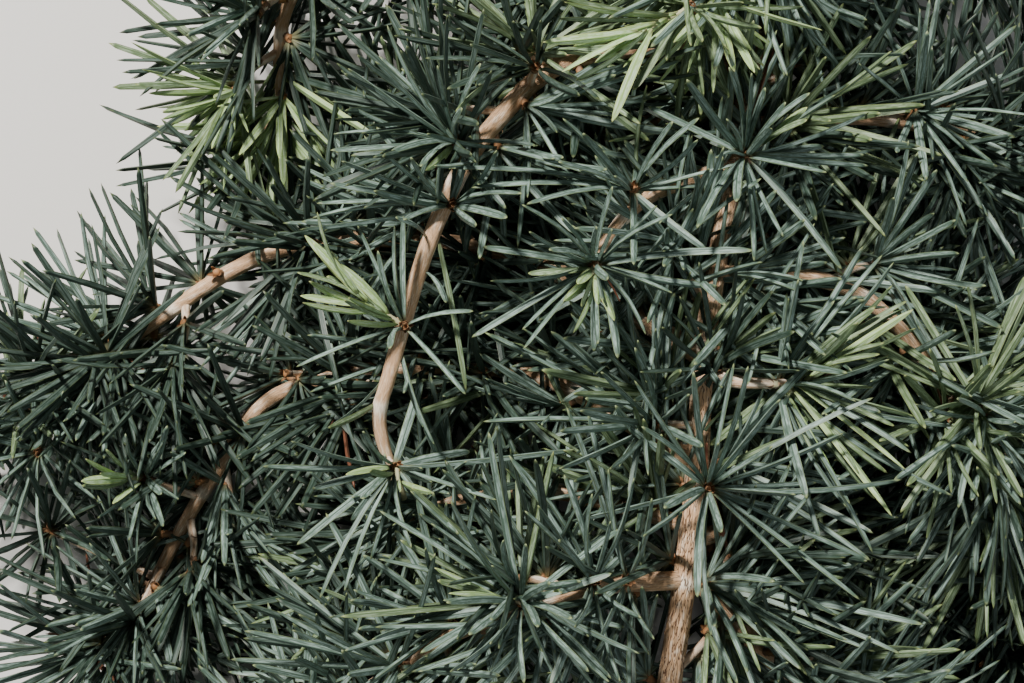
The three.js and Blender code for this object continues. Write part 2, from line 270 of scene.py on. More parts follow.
ROSETTES = (
    Rosette("star", "main_stem", (709, 488), 85, "blue", 37,
            ((873, 396), (845, 435), (902, 482), (796, 495), (871, 561), (861, 600), (806, 583), (708, 636),
             (695, 593), (644, 538), (667, 505), (647, 425), (634, 381), (719, 443), (734, 363), (750, 368),
             (781, 399), (773, 446), (722, 532), (693, 372))),
    Rosette("middle", "middle_shoot", (594, 264), 89, "blue", 27,
            ((565, 217), (594, 228), (612, 229), (555, 244), (529, 234), (483, 246), (495, 288), (471, 337),
             (521, 327), (523, 348), (598, 344), (621, 352), (650, 329), (716, 290), (673, 291), (609, 187),
             (752, 247), (666, 209), (528, 201)),
            ((528, 273), (578, 283), (567, 300), (582, 306), (581, 332), (598, 304), (615, 320)),
            (592, 277), 1.3),
    Rosette("stem left", "main_stem", (655, 424), 77, "blue", 34,
            ((484, 332), (483, 420), (582, 412), (560, 431), (622, 272), (654, 301), (601, 372), (640, 350),
             (690, 395), (560, 470), (612, 470))),
    Rosette("stem right", "main_stem", (716, 368), 76, "deep", 31,
            ((680, 296), (748, 298), (741, 252), (700, 262), (662, 330), (790, 330), (770, 290), (640, 372),
             (668, 402), (800, 372))),
    Rosette("young", "left_shoot", (404, 326), 83, "blue", 25,
            ((402, 216), (388, 227), (357, 225), (373, 257), (468, 305), (386, 341), (295, 364), (467, 393)),
            ((318, 243), (326, 258), (308, 221), (308, 235), (317, 251), (307, 264), (331, 273), (344, 262),
             (300, 295), (309, 288), (348, 299), (344, 306), (304, 310), (349, 325)), (352, 293), 1.3),
    Rosette("upright", "upright_shoot", (744, 153), 84, "blue", 29,
            ((687, 82), (735, 54), (736, 69), (771, 29), (753, 73), (764, 88), (730, 117), (786, 102),
             (804, 91), (836, 94), (870, 117), (865, 156), (869, 166), (827, 172), (844, 268), (782, 237),
             (767, 253), (757, 260), (696, 222), (648, 106), (735, 196)),
            ((805, 107), (798, 116), (775, 118)), (768, 140)),
    Rosette("right", "right_spur_shoot", (780, 384), 78, "blue", 37,
            ((889, 365), (856, 396), (954, 429), (912, 448), (952, 498), (874, 554), (851, 505), (820, 541),
             (806, 498), (896, 264), (864, 246), (882, 254), (803, 240), (799, 279), (830, 300)),
            ((896, 425), (907, 469), (885, 475), (894, 517), (848, 500), (917, 328), (914, 309), (903, 297)),
            (806, 382)),
    Rosette("right fresh", "right_spur_shoot", (788, 382), 77, "fresh", 28,
            ((901, 306), (889, 364), (874, 348), (885, 322), (872, 307), (895, 288), (858, 330), (880, 338),
             (915, 417), (862, 470), (873, 500), (911, 445))),
    Rosette("top", "top_shoot", (692, 6), 90, "fresh", 29,
            ((756, 30), (729, 43), (744, 2), (700, 40)),
            ((565, 8), (559, 19), (545, 44), (573, 47), (561, 69), (585, 85), (608, 53), (621, 64),
             (611, 121), (633, 90), (600, 40), (598, 62), (568, 4)), (642, 31), 1.25),
    Rosette("left upper", "left_shoot", (452, 205), 83, "blue", 31,
            ((313, 211), (300, 231), (404, 217), (384, 154), (341, 161), (330, 183), (317, 200), (475, 225),
             (500, 158), (520, 190), (505, 215), (378, 196), (409, 161))),
    Rosette("left second", "left_shoot", (455, 141), 82, "blue", 30,
            ((347, 69), (375, 61), (382, 30), (384, 53), (335, 128), (353, 114), (456, 109), (474, 64),
             (420, 160), (395, 146), (330, 150), (436, 66)), ((432, 169),), None),
    Rosette("left third", "left_shoot", (536, 66), 80, "deep", 28,
            ((400, 26), (427, 54), (450, 82), (511, 26), (541, 20), (560, 12), (600, 92), (470, 44),
             (575, 96), (445, 10))),
    Rosette("middle upper", "middle_shoot", (634, 188), 85, "blue", 33,
            ((692, 116), (671, 121), (699, 145), (583, 134), (615, 176), (451, 165), (473, 183), (502, 146),
             (564, 117), (560, 160), (528, 200))),
    Rosette("front near", "lower_left_shoot", (594, 581), 84, "blue", 31,
            ((509, 455), (514, 454), (526, 510), (537, 506), (569, 477), (612, 522), (639, 481), (587, 496),
             (617, 683), (562, 590), (578, 628), (560, 540), (637, 620)), ((557, 589),), None),
    Rosette("front twig", "lower_left_shoot", (628, 581), 80, "blue", 33,
            ((567, 407), (588, 412), (606, 470), (650, 640), (600, 640), (655, 500))),
    Rosette("front", "lower_left_shoot", (521, 604), 90, "blue", 34,
            ((488, 432), (448, 503), (434, 521), (380, 510), (380, 557), (450, 600), (471, 631), (491, 645),
             (421, 650), (589, 672), (538, 624), (571, 617), (545, 584), (526, 544), (455, 675), (520, 680)),
            ((435, 570), (440, 580), (452, 590)), (500, 600)),
    Rosette("left end", "left_shoot", (396, 468), 79, "blue", 27,
            ((291, 447), (576, 450), (361, 436), (263, 468), (421, 470), (431, 484), (455, 535), (497, 500),
             (405, 546), (372, 560), (340, 590), (316, 596), (296, 545), (362, 497)),
            ((349, 471), (375, 476), (400, 491), (427, 494)), (398, 484)),
    Rosette("stem foot", "main_stem", (702, 584), 75, "blue", 39,
            ((843, 582), (772, 579), (902, 655), (925, 625), (876, 652), (750, 668), (735, 683), (845, 612))),
    Rosette("far right", "right_shoot", (946, 417), 70, "fresh", 30,
            ((1019, 389), (1012, 375), (995, 368), (975, 383), (975, 497), (952, 493), (997, 475),
             (1023, 514), (903, 520), (930, 540), (1023, 440), (880, 440), (935, 350), (905, 375))),
    Rosette("low young", "far_lower_left_shoot", (143, 478), 50, "blue", 28,
            ((120, 436), (158, 440), (185, 452), (178, 500), (150, 520), (128, 540), (100, 520), (168, 430)),
            ((86, 466), (84, 480), (90, 492), (104, 458), (112, 500), (100, 474), (96, 484)),
            (125, 479), 1.3),
    Rosette("far left low", "far_left_shoot", (38, 452), 43, "blue", 31,
            ((-40, 430), (-20, 500), (10, 540), (40, 560), (70, 520), (95, 500), (-50, 470), (5, 380),
             (60, 390), (-10, 530))),
    # This rosette lies low in shade, and its deep colour is painted shade.
    Rosette("low shade", "far_lower_left_shoot", (48, 530), 38, "deep", 31,
            ((-60, 500), (-50, 540), (-10, 590), (30, 470), (70, 460), (-30, 470), (0, 450), (60, 600),
             (110, 560), (20, 600), (-20, 560), (100, 500))),
)

# Single needles, as they stand on the newest wood: the limb, the pixels of foot and end, the height, the kind
SINGLES = (
    ("left_shoot", (402, 350), (421, 428), 78, "blue"),
    ("left_shoot", (403, 348), (430, 446), 77, "blue"),
    ("left_shoot", (382, 378), (325, 437), 78, "blue"),
    ("left_shoot", (377, 402), (333, 429), 77, "fresh"),
    ("left_shoot", (428, 240), (404, 214), 82, "blue"),
    ("left_shoot", (424, 270), (449, 293), 80, "blue"),
    ("left_shoot", (437, 232), (467, 392), 79, "fresh"),
    ("middle_shoot", (634, 186), (641, 86), 78, "fresh"),
)

# Wood that the photograph shows bare: where it starts and ends in pixels, its half width, and its height
BARE_WOOD = (
    ((700, 515), (690, 575), 11, 66), ((690, 575), (667, 700), 15, 60), ((434, 214), (405, 322), 12, 72),
    ((405, 322), (381, 440), 12, 70), ((510, 116), (486, 132), 8, 66), ((551, 74), (524, 92), 8, 62),
    ((290, -20), (284, 96), 13, 44), ((226, 270), (152, 334), 11, 42), ((205, 488), (146, 584), 11, 40),
    ((292, 372), (264, 404), 9, 46),
)

# Reddish dead needles, each on one of the rosettes
DEAD_NEEDLES = (("star", (704, 445)), ("middle", (622, 300)), ("right", (832, 378)), ("upright", (778, 40)),
                ("far right", (930, 360)))


# Growth: where every twig, short shoot, bud scale and needle stands


# Families of needle shapes, and how far each shape's end is bent aside, as a share of its length
FAMILIES = {"fine": (0.01, 0.05, 0.1, 0.15, 0.21), "plain": (0.03, 0.09, 0.16), "young": (0.02, 0.07, 0.13)}
Shape = namedtuple("Shape", "family bend")
SHAPES = [Shape(family, bend) for family, bends in FAMILIES.items() for bend in bends]
BEND_POWER = 1.8
SHORTEST_NEEDLE = 5.0
STEEPEST_RISE = 0.98
TINT_SPREAD = 0.23

# The room that needles leave over the floor, and may take past the CAD box above and at the sides
FLOOR_MARGIN = 1.6
CEILING_MARGIN = 9.0
SIDE_MARGIN = 16.0

# The X, in the model's frame, at which the branch is parted into left, middle and right
LEFT_EDGE = -33
RIGHT_EDGE = 45

# The height above which, and the plan within which, the photograph is sharp enough for fine needles
FINE_HEIGHT = 64
FINE_ACROSS = 112
FINE_ALONG = 80

# Middles, in plan, of the pale young clusters that the photograph shows out of focus
YOUNG_SPOTS = ((-54, 50), (-82, -26), (-52, -26), (-46, -29))
YOUNG_SPOT_SIZE = 7
YOUNG_SPOT_HEIGHT = 30
# Middles and sizes, in plan, of sprays that the photograph shows dark, in the shade of others
# Needles dealt in these spots mostly get the deep colour, darkened as painted shade.
SHADED_SPOTS = ((88, 52, 30), (100, 20, 16), (-76, -58, 28))
# Below this height most needles get the deep colour, darkened as painted shade.
LOW_HEIGHT = 58

# The colours dealt out to sprays, each with the draw, from 0 to 1, below which it is taken
# The deep colour dealt in shaded spots and low down is painted shade. In high sprays it is drawn at random as
# a darker needle colour.
SHADED_DEAL = (("deep", 0.8), ("blue", 1.0))
YOUNG_DEAL = (("young", 0.25), ("fresh", 0.65), ("blue", 1.0))
LOW_DEAL = (("deep", 0.78), ("blue", 0.93), ("fresh", 1.0))
HIGH_DEAL = (("blue", 0.62), ("deep", 0.84), ("fresh", 1.0))

Spray = namedtuple("Spray", "kind region fine")
Twig = namedtuple("Twig", "route foot tip age")


def to_photo(points):
    """The pixels at which the photograph shows some points."""
    size = pixel_size(points[:, 2])
    return np.stack([PHOTO_MIDDLE[0] + points[:, 0] / size, PHOTO_MIDDLE[1] - points[:, 1] / size], axis=1)


def hides_bare_wood(points):
    """Whether any of the points is seen in front of wood that the photograph shows bare."""
    pixels = to_photo(points)
    for start, end, half_width, height in BARE_WOOD:
        above = pixels[points[:, 2] > height]
        if len(above) == 0:
            continue
        start, run = np.array(start, float), np.subtract(end, start)
        share = np.clip((above - start) @ run / (run @ run), 0, 1)
        if np.linalg.norm(above - start - share[:, None] * run, axis=1).min() < half_width:
            return True
    return False


def shape_for(spray, rng):
    """The number of a needle's shape: pointed in young sprays, finer where the camera sees it sharply."""
    family = "young" if spray.kind == "young" else ("fine" if spray.fine else "plain")
    numbers = [number for number, shape in enumerate(SHAPES) if shape.family == family]
    return numbers[int(rng.integers(len(numbers)))]


def room_at_the_sides(root, chord):
    """How far a needle can reach along its chord inside the room round the model, for X and for Y."""
    for axis in (0, 1):
        edge = CAD_HIGH[axis] / MM + SIDE_MARGIN if chord[axis] > 0 else CAD_LOW[axis] / MM - SIDE_MARGIN
        room = edge - SHIFT[axis] - root[axis]
        yield room / chord[axis] if abs(chord[axis]) > TINY else math.inf


class Growth:
    """Everything that grows on the stem and the shoots, as rows of plain numbers."""

    def __init__(self):
        self.twigs = []
        self.stubs = []
        self.scales = []
        self.needles = {}

    def add_needle(self, spray, root, chord, face, length, width, rng, read=False):
        """One needle from its root along its chord, bent towards its face, kept between floor and ceiling.

        A needle that isn't read from the photograph is left out where it would hide wood that is seen bare.
        """
        chord = unit(chord)
        length = min(length, *room_at_the_sides(root, chord))
        if length < SHORTEST_NEEDLE:
            return
        if not read and hides_bare_wood(root + chord * length * np.linspace(0, 1, 12)[:, None]):
            return
        lowest = (FLOOR_MARGIN - SHIFT[2] - root[2]) / length
        highest = (CAD_HIGH[2] / MM + CEILING_MARGIN - SHIFT[2] - root[2]) / length
        if not lowest < chord[2] < highest:
            rise = min(max(chord[2], lowest), highest, STEEPEST_RISE)
            level = unit(np.array([chord[0], chord[1] + 1e-9, 0.0]))
            chord = level * math.sqrt(max(0.0, 1 - rise ** 2)) + UP * rise
        face = square_to(chord, face)
        shape = shape_for(spray, rng)
        bend = SHAPES[shape].bend
        swing = math.atan(bend)
        aim = chord * math.cos(swing) - face * math.sin(swing)
        face = face * math.cos(swing) + chord * math.sin(swing)
        tint = float(np.clip(rng.normal(0.5, TINT_SPREAD), 0, 1))
        self.needles.setdefault((spray.kind, spray.region), []).append(
            (*root, *aim, *face, width, length / math.hypot(1, bend), tint, shape))


def part_of(x):
    """Which part of the branch a place lies in, by its X in the model's frame, in millimetres."""
    if x < LEFT_EDGE:
        return "left"
    return "right" if x > RIGHT_EDGE else "middle"


def spray_at(kind, place):
    """A spray's kind, its part of the branch, and whether it is near and sharp enough for fine needles."""
    fine = place[2] > FINE_HEIGHT and abs(place[0]) < FINE_ACROSS and abs(place[1]) < FINE_ALONG
    return Spray(kind, part_of(place[0] + SHIFT[0]), fine)


def near(place, x, y, distance):
    return math.hypot(place[0] - x, place[1] - y) < distance


def deal_kind(rng, place, young):
    """The colour of a spray, the same for all its needles: darker low down and in shaded spots, as painted
    shade, young where it is seen young.
    """
    draw = rng.random()
    if any(near(place, x, y, YOUNG_SPOT_SIZE) for x, y in YOUNG_SPOTS) and place[2] > YOUNG_SPOT_HEIGHT:
        return "young"
    if any(near(place, x, y, size) for x, y, size in SHADED_SPOTS):
        deal = SHADED_DEAL
    elif young:
        deal = YOUNG_DEAL
    else:
        deal = LOW_DEAL if place[2] < LOW_HEIGHT else HIGH_DEAL
    return next(kind for kind, below in deal if draw < below)


def spiral(rng, route, start, end, gap, steps, wander=None):
    """Places in a spiral up a limb: the distance along it, its heading there, and the way out of it.

    steps and wander give the least and the greatest share of the gap, and of the golden turn, that lies
    between one place and the next.
    """
    turn = rng.uniform(0, 2 * math.pi)
    distance = start
    while distance < end:
        heading = route.heading(distance)
        turn += GOLDEN_TURN * (rng.uniform(*wander) if wander else 1.0)
        yield distance, heading, turned(heading, square_to(heading, UP), turn)
        distance += gap * rng.uniform(*steps)


GrowthSettings = namedtuple("GrowthSettings",
                            "seed spur_gap twig_every needles_per_rosette needle_length needle_width")

# Ranges that sizes and leans are drawn from, in millimetres and degrees
STUB_RADIUS = (0.8, 1.05)
STUB_LENGTH = (1.6, 4.2)
TWIG_STUB_LENGTH = (1.2, 2.6)
TWIG_LEAN = (25, 52)
TWIG_SHORTER_BY = (15, 20)
SHORTEST_TWIG = 7.0
SCALE_WIDTH = (0.7, 1.1)
SCALE_LENGTH = (1.0, 1.9)
SCALE_LEAN = (15, 60)
SINGLE_LEAN = (36, 66)
SINGLE_GAP = (1.1, 1.7)
WITHERED_LENGTH = (14, 26)
# Lengths of needles at the growing tips, young and full-grown
YOUNG_TIP_LENGTH = (13, 21)
TIP_LENGTH = (20, 30)
# How far the innermost and the outermost needle of a whorl lean from its axis
YOUNG_SPREAD = (8, 66)
TIP_SPREAD = (6, 60)
HIDDEN_SPREAD = (78, 112)
WITHERED_SPREAD = (50, 85)
INNERMOST_LEAN = 14
OUTERMOST_LEAN = (62, 98)
# Ranges of shares: of the needles and of their width in a whorl, of the gap and the golden turn up a limb
COUNT_SHARE = (0.75, 1.2)
WIDTH_SHARE = (0.85, 1.12)
GAP_SHARE = (0.8, 1.2)
TWIG_GAP_SHARE = (0.9, 1.4)
TURN_SHARE = (0.94, 1.06)
# How needles scatter in a whorl: in lean, in degrees, in turn, in radians, and in where their faces look
LEAN_SCATTER = 9
TURN_SCATTER = 0.25
FACE_SCATTER = 0.8
# Scales at the end of a stub: where the camera sees it sharply, elsewhere, and on a rosette that was read
FINE_SCALES = 8
PLAIN_SCALES = 4
READ_SCALES = 9

# Widths and lengths of needles, as shares of a full-grown one's
YOUNG_WIDTH = 1.15
WITHERED_WIDTH = 0.7
DEAD_WIDTH = 0.6
READ_WIDTH = 1.1
YOUNG_LENGTH = 0.62
WITHERED_CHANCE = 0.12
# The length past which a rosette stands off its limb on a twig of its own
LONGEST_STUB = 5.0
# How far the end of a line of young needles rises over its rosette, and how far its wood lies below the line
NEW_SHOOT_RISE = 7.0
NEW_SHOOT_DROP = 1.5
# Length of the needles above which a rosette counts as large. More of its young needles are greener.
LARGE_ROSETTE = 30


class Grower:
    """Grows what stands on one limb or in one rosette, with random draws of its own, which the name seeds."""

    def __init__(self, growth, settings, name):
        self.growth = growth
        self.settings = settings
        self.rng = seeded(name, settings.seed)

    def whorl(self, spray, place, axis, count, lengths, spread, width=1.0):
        """Needles round the end of a short shoot, the inner ones shorter and more upright.

        spread is how far the innermost and the outermost lean from the axis, in degrees.
        """
        rng = self.rng
        axis = unit(axis)
        side = square_to(axis, rng.normal(size=3))
        first = rng.uniform(0, 2 * math.pi)
        lean = square_to(axis, rng.normal(size=3)) * rng.uniform(0, 0.5)
        for i in range(count):
            outward = math.sqrt((i + 0.6) / count)
            polar = math.radians(spread[0] + (spread[1] - spread[0]) * outward + rng.normal(0, LEAN_SCATTER))
            radial = turned(axis, side, first + i * GOLDEN_TURN + rng.normal(0, TURN_SCATTER))
            chord = axis * math.cos(polar) + radial * math.sin(polar) + lean
            length = rng.uniform(*lengths) * (0.72 + 0.28 * outward)
            face = radial * math.cos(polar) - axis * math.sin(polar) + rng.normal(0, FACE_SCATTER, 3)
            root = place + radial * 0.6 * outward - axis * 0.4 * outward
            own_width = self.settings.needle_width * width * rng.uniform(*WIDTH_SHARE)
            self.growth.add_needle(spray, root, chord, face, length, own_width, rng)

    def scales(self, place, axis, radius, count, lift=-0.7):
        """Papery bud scales that stay round the foot of a whorl."""
        rng = self.rng
        side = square_to(axis, rng.normal(size=3))
        for i in range(count):
            radial = turned(axis, side, i * GOLDEN_TURN)
            lean = math.radians(rng.uniform(*SCALE_LEAN))
            aim = axis * math.cos(lean) + radial * math.sin(lean)
            foot = place + radial * radius * 0.7 + axis * lift
            width, length = rng.uniform(*SCALE_WIDTH), rng.uniform(*SCALE_LENGTH)
            self.growth.scales.append((*foot, *aim, *square_to(aim, -radial), width, length))

    def stub(self, base, axis, length, scale_count):
        """The stub of a short shoot, and the scales at its end. Returns the place of its whorl."""
        axis = unit(axis)
        radius = self.rng.uniform(*STUB_RADIUS)
        self.growth.stubs.append((*base, *axis, radius, length))
        place = base + axis * length
        self.scales(place, axis, radius, scale_count)
        return place

    def short_shoot(self, kind, base, axis, length):
        """A short shoot: its stub, with bud scales at its end, and a whorl of needles."""
        rng = self.rng
        spray = spray_at(kind, base)
        place = self.stub(base, axis, length, FINE_SCALES if spray.fine else PLAIN_SCALES)
        count = int(round(self.settings.needles_per_rosette * rng.uniform(*COUNT_SHARE)))
        full = self.settings.needle_length
        if kind == "young":
            self.whorl(spray, place, axis, count, (0.4 * full, 0.68 * full), YOUNG_SPREAD, YOUNG_WIDTH)
        else:
            shortest = rng.uniform(0.62, 0.78)
            lengths = (shortest * full, (shortest + 0.24) * full)
            self.whorl(spray, place, axis, count, lengths, (INNERMOST_LEAN, rng.uniform(*OUTERMOST_LEAN)))
        if rng.random() < WITHERED_CHANCE:
            self.whorl(spray_at("withered", base), place, axis, 1, WITHERED_LENGTH, WITHERED_SPREAD,
                       WITHERED_WIDTH)

    def single_needles(self, kind, route, start, radius, lengths):
        """The single needles that stand in a spiral along the newest part of a shoot."""
        rng = self.rng
        spray = spray_at(kind, route.at(route.length))
        for distance, heading, radial in spiral(rng, route, start, route.length, 1.0, SINGLE_GAP):
            lean = math.radians(rng.uniform(*SINGLE_LEAN))
            chord = heading * math.cos(lean) + radial * math.sin(lean)
            face = radial + rng.normal(0, 0.5, 3)
            length = rng.uniform(*lengths)
            width = self.settings.needle_width * rng.uniform(0.85, 1.1)
            root = route.at(distance) + radial * radius
            self.growth.add_needle(spray, root, chord, face, length, width, rng)

    def twig(self, base, side, heading, reach, young):
        """A thin side twig with short shoots along it and one at its end."""
        rng = self.rng
        lean = math.radians(rng.uniform(*TWIG_LEAN))
        first = unit(side * math.cos(lean) + heading * math.sin(lean) + UP * 0.1)
        length = max(SHORTEST_TWIG, reach - rng.uniform(*TWIG_SHORTER_BY))
        onward = unit(first + 0.5 * heading + 0.2 * UP)
        middle = base + first * length * 0.5
        end = middle + onward * length * 0.5
        end[2] = max(end[2], 4.0 - SHIFT[2])
        route = Route([base, middle, end])
        self.growth.twigs.append(Twig(route, foot=0.95, tip=0.6, age=0.35))
        gap = self.settings.spur_gap
        for distance, along, radial in spiral(rng, route, 4.0, route.length - 2, gap, TWIG_GAP_SHARE):
            place = route.at(distance)
            kind = deal_kind(rng, place, young)
            self.short_shoot(kind, place, radial + 0.5 * along + 0.2 * UP, rng.uniform(*TWIG_STUB_LENGTH))
        along = route.heading(route.length)
        self.short_shoot(deal_kind(rng, end, young), route.at(route.length) - along, along, 1.4)

    def stretch(self, route, radii, start, end, reach, young, gap_share=1.0, highest=1.0):
        """Short shoots and side twigs in a spiral along a stretch of a limb.

        highest is how far up the way out of the limb may point, as a share of straight up.
        """
        rng, gap, every = self.rng, self.settings.spur_gap, self.settings.twig_every
        places = spiral(rng, route, start + gap * 0.4, end - 1.5, gap * gap_share, GAP_SHARE, TURN_SHARE)
        for number, (distance, heading, side) in enumerate(places):
            if side[2] > highest:
                side = square_to(heading, side - UP * (side[2] - highest) * 2)
            radius = np.interp(distance / route.length, (0, 1), radii)
            base = route.at(distance) + side * radius * 0.6
            if number % every == every - 1 and side[2] > -0.8:
                self.twig(base, side, heading, reach, young)
            else:
                axis = side + rng.uniform(0.3, 0.8) * heading + UP * min(0.3, 0.3 * highest)
                kind = deal_kind(rng, base, young)
                self.short_shoot(kind, base, axis, rng.uniform(*STUB_LENGTH))

    def tip(self, route, radii, young):
        """The growing end of a shoot: single needles, and a tuft that points on past the bud."""
        place, heading = route.at(route.length), route.heading(route.length)
        kind = "young" if young else deal_kind(self.rng, place + UP * 30, False)
        lengths = YOUNG_TIP_LENGTH if young else TIP_LENGTH
        self.single_needles(kind, route, route.length - 16, radii[1] * 0.5, lengths)
        self.scales(place, heading, 0.8, 7)
        count = int(self.settings.needles_per_rosette * 0.8)
        self.whorl(spray_at(kind, place), place, heading, count, lengths, TIP_SPREAD,
                   YOUNG_WIDTH if young else 1.0)

    def read_rosette(self, rosette, routes):
        """A rosette whose needles end where the photograph shows their ends, on a stub from its limb."""
        place = from_photo(rosette.pixel, rosette.height)
        foot = routes[rosette.limb].nearest(place)
        axis = unit(place - foot)
        length = float(np.linalg.norm(place - foot))
        if length > LONGEST_STUB:
            middle = (foot + place) / 2 - axis * 0.4 + square_to(axis, UP) * 0.6
            route = Route([foot, middle, place - axis * 2])
            self.growth.twigs.append(Twig(route, foot=0.9, tip=0.7, age=0.4))
            length = 2.4
        length = max(length, 2.0)
        self.stub(place - axis * length, axis, length, READ_SCALES)
        self.read_needles(rosette, rosette.kind, rosette.ends, place, axis, rosette.length, READ_WIDTH)
        self.read_needles(rosette, "young", rosette.young_ends, place, axis, rosette.length * YOUNG_LENGTH,
                          rosette.young_breadth)
        self.scales(place, axis, 0.5, 8, lift=-0.1)
        for name, end in DEAD_NEEDLES:
            if name == rosette.name:
                self.read_needle(spray_at("withered", place), place, axis, end, 8, DEAD_WIDTH)
        hidden = unit(axis - 0.35 * UP)
        self.whorl(spray_at(rosette.kind, place), place - axis * 0.6, hidden, 7,
                   (0.55 * rosette.length, 0.8 * rosette.length), HIDDEN_SPREAD)

    def read_needles(self, rosette, kind, ends, place, axis, full, width):
        """Needles of one kind that end at given pixels. Young ones stand along a line, if there is one."""
        line = np.zeros(3)
        if kind == "young" and rosette.young_line:
            line = from_photo(rosette.young_line, place[2] + NEW_SHOOT_RISE) - place
        farthest_last = sorted(ends, key=lambda end: float(np.dot(from_photo(end, place[2]) - place, line)))
        every = 2 if rosette.length > LARGE_ROSETTE else 3
        for number, end in enumerate(farthest_last):
            share = (number + self.rng.uniform(0, 1)) / len(ends)
            greener = kind == "young" and number % every == 1
            spray = spray_at("fresh" if greener else kind, place)
            self.read_needle(spray, place + line * share, axis, end, full, width)
        if line.any():
            under = place - UP * NEW_SHOOT_DROP
            route = Route([place - line * 0.1, under + line * 0.4, under + line * 0.8])
            self.growth.twigs.append(Twig(route, foot=0.6, tip=0.3, age=0.0))

    def read_needle(self, spray, place, axis, end, full, width=1.0):
        """A needle whose end is seen at a pixel: the shorter it looks, the more it points at the camera."""
        rng = self.rng
        tip = from_photo(end, place[2])
        reach = float(np.linalg.norm(tip - place))
        length = max(full * rng.uniform(0.72, 0.95), reach * rng.uniform(1.01, 1.05))
        rise = math.sqrt(length ** 2 - reach ** 2)
        tip = from_photo(end, place[2] + rise)
        chord = tip - place
        across = np.cross(unit(chord), UP)
        sideways = 0.4 if spray.kind == "young" else 1.0
        face = -UP * rng.uniform(0.1, 0.7) + across * rng.choice((-1, 1)) * rng.uniform(0.3, 1.2) * sideways
        root = place + unit(np.array([chord[0], chord[1], 0.0])) * 0.9 - axis * rng.uniform(0, 0.7)
        self.growth.add_needle(spray, root, tip - root, face, float(np.linalg.norm(tip - root)),
                               self.settings.needle_width * width * rng.uniform(0.92, 1.1), rng, read=True)


# Stretches that the photograph shows bare on top, and how steeply a short shoot may rise there
LOW_STRETCHES = {"needles_star_spur": -0.1, "needles_top": 0.0, "needles_left_upper": 0.5,
                 "needles_lower_left": -0.1, "needles_upper_left": 0.4, "needles_far_left": 0.6,
                 "needles_far_lower_left": 0.6, "needles_hanging": 0.6}
# Stretches whose needles are all read from the photograph
READ_STRETCHES = ("needles_left_young", "needles_left_tip", "needles_middle", "needles_upright",
                  "needles_right_spur")
# The shortest shoot that also carries needles between its foot and its first stretch
LONG_SHOOT = 60
# How far a single needle's foot is drawn from where it is seen towards its limb, and its full length
SINGLE_DRAW = 0.35
SINGLE_LENGTH = 17


@functools.lru_cache(maxsize=1)
def grow_branch(settings):
    """Grows everything once. The same settings give the same branch."""
    growth = Growth()
    limbs = [("main_stem", STEM, STEM_RADII, STEM_FOLIAGE)]
    for shoot in SHOOTS:
        radii = (shoot.radius, shoot.radius * SHOOT_TIP_SHARE)
        limbs.append((shoot.name, shoot_route(shoot), radii, shoot.foliage))
    for name, route, radii, masses in limbs:
        grower = Grower(growth, settings, name)
        for mass in masses:
            if mass.name in READ_STRETCHES:
                continue
            grower.stretch(route, radii, mass.start * route.length, mass.end * route.length,
                           mass.reach, mass.young, highest=LOW_STRETCHES.get(mass.name, 1.0))
        if masses[-1].name not in (*READ_STRETCHES, "needles_top"):
            grower.tip(route, radii, masses[-1].young)
        if name != "main_stem" and route.length > LONG_SHOOT:
            grower.stretch(route, radii, 6, masses[0].start * route.length, masses[0].reach, False,
                           gap_share=1.6, highest=0.3)
    grower = Grower(growth, settings, "stem middle")
    grower.stretch(STEM, STEM_RADII, 0.56 * STEM.length, 0.78 * STEM.length, 28, False,
                   gap_share=1.1, highest=0.35)
    routes = {name: route for name, route, radii, masses in limbs}
    for rosette in ROSETTES:
        Grower(growth, settings, rosette.name).read_rosette(rosette, routes)
    for limb, foot, end, height, kind in SINGLES:
        place = from_photo(foot, height)
        place = routes[limb].nearest(place) * SINGLE_DRAW + place * (1 - SINGLE_DRAW)
        grower.read_needle(spray_at(kind, place), place, UP, end, SINGLE_LENGTH)
    return growth


# Meshes from arrays


def mesh_of(name, points, faces, uvs):
    """A mesh from points in metres, with one UV for each corner of its faces."""
    mesh = bpy.data.meshes.new(name)
    mesh.from_pydata(np.asarray(points).tolist(), [], faces)
    layer = mesh.uv_layers.new(name="UVMap")
    layer.data.foreach_set("uv", np.array(uvs, np.float32).ravel())
    return mesh


def new_object(name, mesh, material):
    obj = bpy.data.objects.new(name, mesh)
    bpy.context.scene.collection.objects.link(obj)
    if material is not None:
        mesh.materials.clear()
        mesh.materials.append(material)
    return obj


def point_attribute(mesh, name, kind, values):
    """Gives each point of a mesh a value of its own."""
    attribute = mesh.attributes.new(name, kind, "POINT")
    field = "vector" if kind == "FLOAT_VECTOR" else "value"
    number = np.int32 if kind == "INT" else np.float32
    attribute.data.foreach_set(field, np.ascontiguousarray(values, number).ravel())


def ring_faces(sides, along, first=0):
    """Faces between rings of points, and their UVs: turns round a ring, and the V that along gives it."""
    faces, uvs = [], []
    for i in range(len(along) - 1):
        low, high = first + i * sides, first + (i + 1) * sides
        for k in range(sides):
            n = (k + 1) % sides
            faces.append((low + k, low + n, high + n, high + k))
            for turn, v in ((k, along[i]), (k + 1, along[i]), (k + 1, along[i + 1]), (k, along[i + 1])):
                uvs.append((turn / sides, v))
    return faces, uvs


def closed_tube(sides, along, ends, first=0):
    """Faces and UVs of a tube over rings of points, closed at each end by a point. Both follow the last ring.

    along is V at each ring, and ends is V at the two end points.
    """
    faces, uvs = ring_faces(sides, along, first)
    top = first + (len(along) - 1) * sides
    point = top + sides
    for k in range(sides):
        n = (k + 1) % sides
        faces += [(point, first + n, first + k), (point + 1, top + k, top + n)]
        for end, ring in zip(ends, (along[0], along[-1])):
            uvs += [(k / sides, end), (k / sides, ring), (k / sides, ring)]
    return faces, uvs


